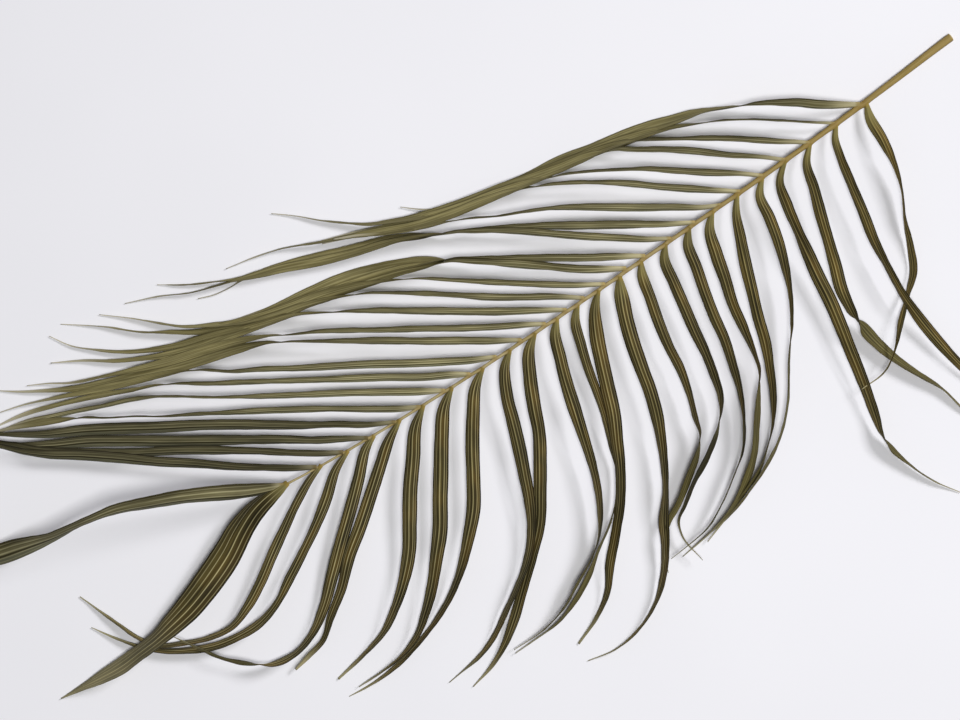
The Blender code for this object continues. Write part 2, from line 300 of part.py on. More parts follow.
def rings(rows, heights, fold, side):
    """Rings of six points round a folded blade: top left, rib, right, then the underside."""
    rows = np.array(rows, float)
    x, y, seen = rows.T
    share = np.concatenate([[0], np.cumsum(np.hypot(np.diff(x), np.diff(y)))])
    length = share[-1]
    share = share / length
    root = rachis_height(x[0]) - 1.2 if abs(y[0]) < 15 else heights[0] + 1.0
    low = np.interp(share, np.linspace(0, 1, len(heights) + 1), (root,) + tuple(h + LIFT for h in heights))
    phi = np.radians(fold) * (1 - (1 - FOLD_END) * np.clip(share / FOLD_RUN, 0, 1))
    widest = 1.04 * np.abs(seen).max()
    grown = seen[0] + (widest - seen[0]) * np.clip(share / GROW, 0, 1) ** 0.7
    tapered = widest * (1 - np.clip((share - TAPER) / (1 - TAPER), 0, 1) ** 1.7)
    spread = np.maximum(np.minimum(grown, tapered), np.maximum(1.03 * np.abs(seen), TIP_W))
    roll = side * np.arccos(np.clip(0.97 * seen / spread, -1, 1))
    phi = np.minimum(phi, np.abs(np.pi / 2 - np.abs(roll)) + EDGE_FOLD)
    half = spread / 2 / np.cos(phi)
    thick = BLADE_T + (ROOT_T - BLADE_T) * np.clip(1 - share * length / ROOT_RUN, 0, 1) ** 2
    kept = needed(x, y, seen, low)
    x, y, low, half, phi, roll, thick, share = (v[kept] for v in (x, y, low, half, phi, roll, thick, share))

    # the flat section: sideways offset and height of the two edges and the rib
    across = np.stack([half * np.cos(phi), 0 * half, -half * np.cos(phi)], 1)
    up = np.stack([-half * np.sin(phi), 0 * half, -half * np.sin(phi)], 1)
    off_a = np.stack([np.sin(phi), 0 * phi, -np.sin(phi)], 1) * (thick / 2)[:, None]
    off_u = np.stack([np.cos(phi), 1 / np.cos(phi), np.cos(phi)], 1) * (thick / 2)[:, None]
    across = np.concatenate([across + off_a, (across - off_a)[:, ::-1]], 1)
    up = np.concatenate([up + off_u, (up - off_u)[:, ::-1]], 1)
    c, s = np.cos(roll)[:, None], np.sin(roll)[:, None]
    across, up = across * c - up * s, across * s + up * c
    across -= (across.max(1) + across.min(1))[:, None] / 2
    base = low - up.min(1)

    centre = np.stack([x, y, base], 1)
    run = np.gradient(centre, share * length, axis=0)
    run /= np.linalg.norm(run, axis=1)[:, None]
    left = np.stack([-run[:, 1], run[:, 0], 0 * x], 1)
    left /= np.linalg.norm(left, axis=1)[:, None]
    top = np.cross(run, left)
    return centre[:, None] + left[:, None] * across[..., None] + top[:, None] * up[..., None]


def solid(name, points):
    """Closed skin over rings of points, split into triangles alike on both faces of the blade."""
    count, around = points.shape[:2]
    verts = (points - np.array([ORIGIN_X, 0, 0])).reshape(-1, 3) * MM
    faces = []
    for i in range(count - 1):
        for j in range(around):
            a, b = i * around + j, i * around + (j + 1) % around
            c, d = a + around, b + around
            if around == 6 and j in (3, 4):
                faces += [(a, b, c), (b, d, c)]
            elif around == 6:
                faces += [(a, b, d), (a, d, c)]
            else:
                faces.append((a, c, d, b))
    end = (count - 1) * around
    if around == 6:
        faces += [(5, 4, 1), (5, 1, 0), (4, 3, 2), (4, 2, 1)]
        faces += [(end, end + 1, end + 5), (end + 1, end + 4, end + 5)]
        faces += [(end + 1, end + 2, end + 4), (end + 2, end + 3, end + 4)]
    else:
        faces += [tuple(range(around)), tuple(range(end, end + around))[::-1]]
    mesh = bpy.data.meshes.new(name)
    mesh.from_pydata(verts.tolist(), [], faces)
    item = bpy.data.objects.new(name, mesh)
    bpy.context.scene.collection.objects.link(item)
    return item


def stalk():
    """Rings of ten points round the rachis: flat below, a low ridge along the top beside two channels."""
    rows = np.array(RACHIS, float)
    angle = np.radians([-108, -72, -36, 0, 36, 72, 108, 144, 180, 216])
    shape_a = np.cos(angle)
    shape_u = np.sin(angle) * np.array([1, 1, 1, 1, .86, .98, .98, .86, 1, 1])
    centre = rows[:, [0, 1, 3]]
    run = np.gradient(centre, axis=0)
    run[0] = run[1] = (1, rows[1, 1] / REST_LENGTH, 0)
    run /= np.linalg.norm(run, axis=1)[:, None]
    left = np.stack([-run[:, 1], run[:, 0], 0 * run[:, 0]], 1)
    left /= np.linalg.norm(left, axis=1)[:, None]
    top = np.cross(run, left)
    half = rows[:, 2, None] / 2
    points = centre[:, None] - left[:, None] * (shape_a * half)[..., None]
    points = points + top[:, None] * (shape_u * half)[..., None]
    points[:2, :2, 2] = 0.0
    return points


frond = solid("frond", stalk())
blades = bpy.data.collections.new("blades")
bpy.context.scene.collection.children.link(blades)
for row, fold, side in ((LEFT, FOLD_LEFT, 1), (RIGHT, FOLD_RIGHT, -1)):
    for name, heights, rows in row:
        blade = solid(name, rings(rows, heights, fold, side))
        bpy.context.scene.collection.objects.unlink(blade)
        blades.objects.link(blade)

join = frond.modifiers.new("join", "BOOLEAN")
join.operation = "UNION"
join.operand_type = "COLLECTION"
join.collection = blades
join.solver = "EXACT"
depsgraph = bpy.context.evaluated_depsgraph_get()
joined = bpy.data.meshes.new_from_object(frond.evaluated_get(depsgraph))
frond.modifiers.clear()
frond.data = joined
for blade in list(blades.objects):
    bpy.data.objects.remove(blade, do_unlink=True)
bpy.data.collections.remove(blades)

dried = bpy.data.materials.new("dried_leaf")
dried.use_nodes = True
shader = dried.node_tree.nodes["Principled BSDF"]
shader.inputs["Base Color"].default_value = (0.105, 0.092, 0.040, 1)
shader.inputs["Roughness"].default_value = 0.6
frond.data.materials.clear()
frond.data.materials.append(dried)
for face in frond.data.polygons:
    face.material_index = 0
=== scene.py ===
import math

import bpy
import numpy as np
from mathutils import Matrix, Vector


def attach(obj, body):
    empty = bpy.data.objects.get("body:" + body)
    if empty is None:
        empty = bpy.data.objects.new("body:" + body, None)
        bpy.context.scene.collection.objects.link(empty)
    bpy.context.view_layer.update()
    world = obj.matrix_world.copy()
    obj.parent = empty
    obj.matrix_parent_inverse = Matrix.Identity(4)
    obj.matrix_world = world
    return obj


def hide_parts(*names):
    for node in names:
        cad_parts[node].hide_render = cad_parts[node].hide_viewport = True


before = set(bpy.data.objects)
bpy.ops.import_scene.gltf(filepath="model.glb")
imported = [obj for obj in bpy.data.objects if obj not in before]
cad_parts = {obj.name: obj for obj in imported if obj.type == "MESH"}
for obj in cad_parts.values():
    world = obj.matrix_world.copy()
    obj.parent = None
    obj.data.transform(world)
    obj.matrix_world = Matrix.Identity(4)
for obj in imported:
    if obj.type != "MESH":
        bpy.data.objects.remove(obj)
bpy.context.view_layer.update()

MM = 0.001
ORIGIN_X = 8.0          # the origin's place along the leaf, 10 mm from the cut end, mm
BLADE_T = 0.34          # thickness of a blade, mm
ROOT_T = 2.0            # thickness of a leaflet at its root, mm
ROOT_RUN = 14.0         # length over which the root thins to the blade, mm
FOLD_LEFT = 24.0        # slope of each half of a left blade beside its rib, degrees
FOLD_RIGHT = 30.0       # the same for the right row, folded tighter
FOLD_END = 0.25         # share of the fold that is left where the blade has flattened
FOLD_RUN = 0.6          # share of the length over which the fold flattens
EDGE_FOLD = 0.03        # fold that is left where the blade stands on edge, radians
GROW = 0.10             # share of the length over which a blade reaches its width
GROW_CURVE = 0.7        # below one, it widens fastest at the root
TAPER = 0.60            # where the blade starts to narrow, share of its length
TAPER_CURVE = 1.7       # above one, it narrows fastest at the tip
TIP_W = 0.36            # narrowest width, mm
LIFT = 0.8              # the blades' heights below are counted from this far above the surface, mm
CLEAR = 0.03            # least height of a blade above the surface, mm
EDGE_CLEAR = 0.02       # least height that its lowest edge is aimed at, mm
ROOT_REACH = 15         # a blade that starts closer than this to the leaf's axis grows from the rachis, mm
ROOT_SINK = 1.2         # how far a leaflet's root lies below the middle of the rachis, mm
WIDEST = 1.04           # a blade's full width, as a share of the greatest width seen from above
SLACK = 1.03            # a blade is at least this much wider than it looks from above
FACING = 0.97           # the roll's cosine, as a share of the seen width over the full width
CROWDING = 0.92         # how far the points across a blade crowd towards its edges
RIB_ROUND = 0.01        # how round the fold is along the rib
WAVES = ((0.16, 47.0), (0.10, 23.0), (0.05, 11.0))      # height and pitch of the waves in an edge, mm
WAVE_SKEW = 1.2         # how far one edge's waves run ahead and the other's lag behind, radians
SEED = 100              # leaflet n draws its random numbers from seed SEED + n
ALONG = 168             # rings along a blade
ACROSS = 17             # points across each face of a blade, three times as many on the broad one
BROAD_1 = 0.20          # where the two inner ribs of the broad end leaflet run, share of the half width
BROAD_2 = 0.56          # and its two outer ribs
BROAD = "l24"           # that leaflet's name

# The stalk, mm
ROUND = 24              # points around it
RINGS = 620             # rings along it
CUT = (-2, -1.75, -1.2)     # places of the rings at its cut end
FLAT_TO = 16            # to where it lies on the surface
RIDGE_FROM = 30         # where the ridge along its top starts
JOINT_AHEAD = 1.5       # how far past a leaflet's root the swelling is highest
JOINT_REACH = 3.4       # half the swelling's length
JOINT_SWELL = 0.34      # its height as a share of the stalk's half width
TINT_REACH = 3.0        # how far the brown at a joint spreads
TINT_TO = 648           # from here on the joints aren't brown
TINT_FADE = 20          # length over which the brown fades before that

# Length of the khaki run at a leaflet's root, mm: at the lower end of the leaf, how much of it is lost
# towards the tip in each row, and the two end leaflets.
KHAKI = 34
KHAKI_LESS_LEFT = 24
KHAKI_LESS_RIGHT = 16
KHAKI_END = {"l24": 24, "r25": 12}
RACHIS_RUN = 650        # length of the rachis up to its last leaflets, mm

# Tone, a factor on the colour: of each row, and of single blades that are lighter or darker.
TONE_LEFT = 1.23
TONE_RIGHT = 1.18
TONES = {
    "l01": 1.5, "l08": 1.0, "l09": 1.06, "l10": 1.12, "l12": 1.16, "l16": 1.07, "l24": 1.22,
    "r03": 1.02, "r10": 1.3, "r11": 1.36, "r12": 1.3, "r19": 1.32, "r20": .96, "r21": .6, "r22": .58,
    "r23": .54, "r24": .52, "r25": .88}
SHADED_BLADE = "l09"        # the blade painted nearly black with shade where it has turned over
SHADE_FROM, SHADE_TO = 0.56, 0.87     # shares of its length
PAINTED_SHADE = 0.72           # how much tone the painted shade takes off there

# Rachis: distance along the leaf, sideways offset, width and height of the centre above the surface, mm
RACHIS = [
    (-2, -0.1, 6.9, 3.1), (16, 0.9, 6.4, 3.1), (45, 2.8, 5.6, 4.4), (80, 4.8, 4.8, 6.8),
    (115, 6.4, 4.4, 9.4), (150, 7.6, 4.1, 11.6), (200, 9.0, 3.8, 13.8), (250, 9.7, 3.5, 15.4),
    (300, 10.4, 3.3, 16.6), (350, 11.0, 3.1, 17.4), (400, 11.1, 2.9, 18.0), (450, 10.9, 2.7, 18.2),
    (500, 9.7, 2.5, 18.2), (540, 8.3, 2.3, 18.0), (580, 6.0, 2.1, 17.6), (610, 3.8, 1.9, 17.2),
    (636, 1.2, 1.8, 17.0), (652, -1.4, 1.6, 17.0),
]

# One entry for each leaflet: its name, the heights of its lowest edge at even shares of its length after
# the root, and rows of distance along the leaf, distance to the side and seen width, mm. A seen width below
# nought shows the underside, because the blade has twisted over. The tips at minus LIFT touch the surface:
# they and the stalk's end are the three points that hold the leaf up.
LEFT = [
    ("l01", (11, 8, 3, 1, 8, 12, 12), [
        (85, 6, 3), (89.3, 17.8, 8), (91.2, 37.9, 8.2), (94.6, 59.8, 3), (101, 80, .7), (111.1, 100.4, 1),
        (118.7, 120.4, 4.9), (128.7, 139.8, 5.6), (142.6, 151.7, 2.6), (160.8, 167.4, 4.1),
        (173, 179.3, 1.1), (193, 192.3, 1), (216, 194, .6)]),
    ("l02", (12, 12, 11.5, 6, 2, 0), [
        (115, 7, 3), (121.7, 15.6, 5.5), (126.7, 29.6, 6), (131.2, 49.6, 6.5), (137.2, 79.6, 7.9),
        (141.7, 99.6, 7.4), (144.7, 124.5, 4.8), (146.8, 149.5, 5.3), (146.3, 169.5, 8.5),
        (144.4, 189.7, 9), (140, 218, 7.2), (133, 245, 6), (124, 270, 4.3), (108, 303, .8)]),
    ("l03", (13, 11, 9, 3, 1, 0), [
        (141, 8, 3), (152.1, 19.3, 6), (158.8, 39.5, 8), (165.9, 59.7, 9), (172.2, 79.9, 8.5),
        (178.5, 100, 10), (185.3, 119.8, 10.2), (187.3, 131.8, 8), (188.2, 141.3, 5.5),
        (187.5, 152.3, -8.5), (184.7, 170.2, -9.5), (178.9, 190.1, -7.5), (170.6, 209.9, -5),
        (161.4, 229.8, -2.5), (156.5, 252, -2), (151, 276, -.6)]),
    ("l04", (13, 12, 9, 5, 2, 0), [
        (165, 8, 3), (178.1, 19.3, 6), (184.2, 39.2, 8), (188.1, 59.2, 7), (191.6, 79.3, 9.5),
        (195, 99.4, 11), (197.5, 119.6, 11), (201.2, 139.9, 10.5), (205.5, 160, 9.8), (209.5, 180, 9),
        (214, 200, 8), (219, 220, 6), (222.3, 233, 1.8), (222, 246, -4.5), (217, 266, -2.3),
        (208, 288, -1), (195, 308, -.5)]),
    ("l05", (13, 12, 9, 5, 1.2, .3), [
        (188, 9, 3), (197.1, 19.3, 7), (201.1, 39.3, 9), (206, 59.3, 8.5), (213, 79.3, 6),
        (221.8, 99.4, 3), (234.1, 119.6, 1.2), (251.3, 142.1, -2.3), (270.7, 169.6, -2.4),
        (290, 188.5, -3.3), (310, 201, -3.5), (330, 210, -2.8), (355, 218.5, -2.2), (385, 223.5, -1.2),
        (409, 226.5, -.5)]),
    ("l06", (13, 12, 10, 7.5, 4.5, 3), [
        (212, 9, 3), (220.3, 19.7, 6), (229.6, 39.9, 8.5), (238, 60.1, 10), (245.4, 80.1, 9),
        (252.9, 100.1, 9), (259.2, 119.8, 8.5), (268, 139.6, 6.5), (278, 159.3, 4.5), (290, 176.5, 1.7),
        (303, 189.5, -1.5), (320, 202.5, -3.2), (340, 211, -3), (362, 219, -2), (386, 227.5, -.6)]),
    ("l07", (13, 12, 10, 8, 7, 5.5), [
        (236, 9, 3), (245.6, 19.5, 8), (252.6, 39.6, 10.5), (257.9, 59.7, 9.5), (263.9, 79.8, 8.5),
        (267.3, 99.8, 7), (271.2, 119.9, 3.5), (276, 136, 1.2), (286, 150, -4), (301, 170, -6),
        (317, 190, -6), (335, 204.5, -6.5), (352, 214, -4), (372, 220.5, -1.8), (400, 225, -.5)]),
    ("l08", (13, 12, 10.5, 9.5, 9.5, 8), [
        (259, 9.5, 3), (266.6, 19.5, 8), (271.7, 39.9, 9), (277.1, 60, 9), (281.6, 80, 9), (285, 100, 8),
        (290.7, 119.6, 7), (297.5, 140, 4), (307, 160, 2), (321, 180, 1), (340, 195, -1), (360, 208, -1.4),
        (380, 217.5, -1.2), (400, 220.5, -1), (418, 222, -.4)]),
    ("l09", (13, 12, 10, 8, 7, 9), [
        (282, 10, 3), (289.1, 19.5, 8), (293.4, 39.7, 9), (297.1, 59.9, 9.5), (300.8, 79.9, 9),
        (303.7, 99.9, 7.5), (308.2, 119.8, 6.5), (313.1, 135.9, 4), (320.5, 147, 1.5), (332, 158.5, -4),
        (350, 171, -5.5), (370, 182, -4), (385, 192.5, -4), (396, 200, -2), (400, 210, -1.5),
        (397.5, 237, -.4)]),
    ("l10", (13, 12, 10, 9.5, 10.5, 9), [
        (306, 10.5, 3), (310.8, 19.7, 8), (316, 39.9, 9), (321.3, 60.1, 9), (325.2, 79.9, 8),
        (327.5, 99.6, 7), (332.5, 119.6, 5), (339.5, 139.7, 3.5), (343, 151, 1), (353, 162.7, -4.1),
        (369.2, 175, -6.2), (389.5, 188.9, -5), (403, 196, -4.5), (413, 206, -2), (421, 218, -1.2),
        (426, 230, -.4)]),
    ("l11", (13, 12, 9, 6, 3, 1, 0), [
        (327, 11, 3), (331.7, 20.2, 10), (340.5, 40.3, 12.1), (347.3, 60.5, 12.2), (352.5, 80.3, 11.5),
        (357.2, 100.2, 10.8), (363.7, 119.9, 10.2), (372.4, 139.7, 7.7), (382.7, 159.6, 5.1),
        (392.8, 175.9, 4.7), (406, 193.3, 7.8), (415.5, 209.7, 6.6), (430, 229, 4.9), (448, 244.5, 2.6),
        (470, 254.5, 1.5), (495, 258, .9), (519, 253.5, .5)]),
    ("l12", (13.5, 13.5, 12, 8, 3, 0), [
        (347, 11, 3), (356.4, 20.5, 8), (368.1, 40.3, 12), (376.4, 60.1, 12), (384.1, 79.9, 12),
        (391.9, 99.8, 12), (401.7, 119.1, 10.2), (411.7, 138.9, 8.4), (425, 159, 7.6), (442.8, 179.4, 7.5),
        (462, 199.4, 7.2), (474.9, 215.5, 5), (494.7, 228.7, 2.8), (517.5, 238, 1.8)]),
    ("l13", (8.5, 5, 3.5, 3, 3, 2), [
        (367, 11, 3), (375.3, 20.4, 7.5), (382.6, 40.2, 8.2), (388.5, 59.7, 7.4), (393.3, 79.9, 6.6),
        (399.2, 100.1, 5.8), (406.5, 120.3, 5.5), (415, 141.6, 3.5), (426, 156.2, 2), (445.1, 173, -2),
        (462.1, 183.7, -3), (479.8, 196.5, -4.5), (499.8, 207.1, -4.5), (520.9, 214.1, -2),
        (545, 215.5, -1.2), (564, 216, -.5)]),
    ("l14", (13, 12, 10, 7, 5.5, 4), [
        (387, 11, 3), (394.8, 20.5, 8.5), (402.6, 39.9, 10), (409.6, 59.6, 10.5), (415.5, 79.6, 11),
        (421.2, 99.8, 9), (427.1, 120, 7), (434.5, 140, 6), (445, 160, 4), (456, 174.5, 1.6),
        (472, 187, -2), (490, 196, -2.5), (510, 206.5, -2), (533, 212.4, -1), (563, 212.8, -.5)]),
    ("l15", (13, 12, 10, 7, 3, 0), [
        (408, 11, 3), (419, 19.6, 9), (431.5, 39.7, 11), (441.1, 59.6, 11.5), (449.7, 79.5, 10.5),
        (462, 99.3, 11.1), (475.4, 119.1, 10.7), (489.4, 139.1, 9.8), (510.6, 159, 8.5), (531.4, 177.1, 8),
        (550.8, 193.5, 8), (567, 205, 5.5), (585, 213.7, 3), (607, 219.5, .6)]),
    ("l16", (13, 11, 8, 5, 2, 0), [
        (432, 11, 3), (442.4, 19.8, 8), (454.2, 39.9, 10), (461.6, 59.9, 11), (469.2, 79.9, 11.2),
        (477.5, 100, 10.5), (486, 120, 9), (497.5, 140, 7.5), (515.8, 159.8, 5.7), (535.7, 173.6, 4.3),
        (553.5, 184.7, 4.2), (572.3, 195.8, 4.5), (590, 202, 3), (605, 204, 1.2), (621, 206, .5)]),
    ("l17", (13, 12, 9, 4, 1, -.8), [
        (458, 11, 3), (470.5, 19.7, 8.6), (486.5, 39.7, 11.1), (500.5, 59.7, 11.6), (513, 79.6, 11.6),
        (526.4, 99.8, 11.6), (544.4, 118.7, 9.7), (560.4, 133.5, 6.9), (580, 147.5, 5.5),
        (604.5, 159.1, 3.8), (629.5, 166.9, 4), (654.7, 171.7, 3.3), (678, 172, 1.5), (694, 170.5, .5)]),
    ("l18", (13, 12, 10, 7, 4, 2), [
        (487, 10, 3), (500.6, 19.6, 9.4), (516.6, 39.6, 11.9), (530.7, 59.6, 12.5), (544.8, 79.5, 12.6),
        (558.5, 99.6, 12.6), (573.2, 116.4, 11), (589.9, 134.6, 8.9), (605, 148, 7.5), (622, 160, 5),
        (642, 166.5, 2.3), (662, 168.3, 1.6), (683, 168.3, .5)]),
    ("l19", (13, 12, 10, 7, 3, 0), [
        (514, 9.5, 3), (528.2, 19.9, 9.4), (544.3, 39.9, 11.8), (560.4, 59.8, 12.2), (574.4, 79.8, 12.1),
        (588.4, 99.8, 11.6), (603.9, 116, 9.7), (621.6, 130.3, 7.5), (641.5, 142.3, 5.1),
        (664.5, 148.7, 3.2), (693.5, 154, 1.8)]),
    ("l20", (14, 14, 13, 11, 8, 5), [
        (536, 8.5, 3), (553.1, 18, 8.6), (570, 30.9, 10.5), (590, 46.5, 10.8), (609.7, 61.7, 11.1),
        (629.8, 76.1, 10.3), (649.9, 94.6, 8.3), (669.8, 108.6, 6.4), (685.5, 120.8, 4.6),
        (701.2, 124.8, 4.2), (717.1, 128.3, 1.8)]),
    ("l21", (12, 10, 7, 5, 8, 10, 12), [
        (560, 7.5, 3), (569.7, 11.7, 7), (589.8, 29.6, 10), (609.9, 47.1, 10.5), (630.3, 64.3, 10.5),
        (650.3, 81.8, 10.6), (670.3, 99.3, 8.7), (690.2, 111.9, 6.3), (709.8, 117.2, 4.7),
        (727.7, 114.7, 4.3), (744.8, 103.2, -4.2), (759.8, 88.1, -3.6), (773, 68, -2), (784, 50, -.5)]),
    ("l22", (13, 12, 10, 7, 4, 2, 0), [
        (584, 6, 3), (600.1, 13, 7), (620.1, 28.5, 9.7), (640.6, 42.6, 8), (660.5, 54.2, 7.8),
        (680.5, 65.2, 7.9), (700.5, 76.2, 6), (720.4, 81.4, 6.7), (739.7, 80.7, 6.4), (759.7, 76.6, 6.1),
        (779.8, 67.7, 4.8), (800.1, 54.2, 3.5), (812.4, 41.7, 2.5), (825.3, 24.4, 1.5), (835.1, 9.2, .5)]),
    ("l23", (13, 12, 10, 6, 3, 1, 0), [
        (608, 3.7, 3), (620.5, 7.6, 5.8), (640.3, 17.3, 7.2), (660.1, 29, 8.1), (680, 41, 9),
        (700, 54, 8.7), (719.8, 64.6, 7.8), (740.3, 71.1, 5.3), (760.2, 68.4, 4), (780.1, 60.4, 3.8),
        (798, 50.5, 3), (808.5, 35.8, 2.8), (814.6, 20.9, 2.1), (829, -16.5, .8)]),
    ("l24", (15, 14, 13, 12, 10.5, 8, 3, 0), [
        (638, .6, 4), (656.5, 1.9, 13.4), (672.5, 4.9, 17.2), (691, 11.3, 22.1), (709.8, 20.7, 24.3),
        (739.7, 32.6, 24), (759.9, 39.1, 21.8), (780.1, 43.4, 17.6), (795.2, 46, 13.3), (810, 47, 12),
        (830, 47.8, 13.5), (850, 46.5, 10), (866, 45, 5.5), (887, 43, .8)]),
]
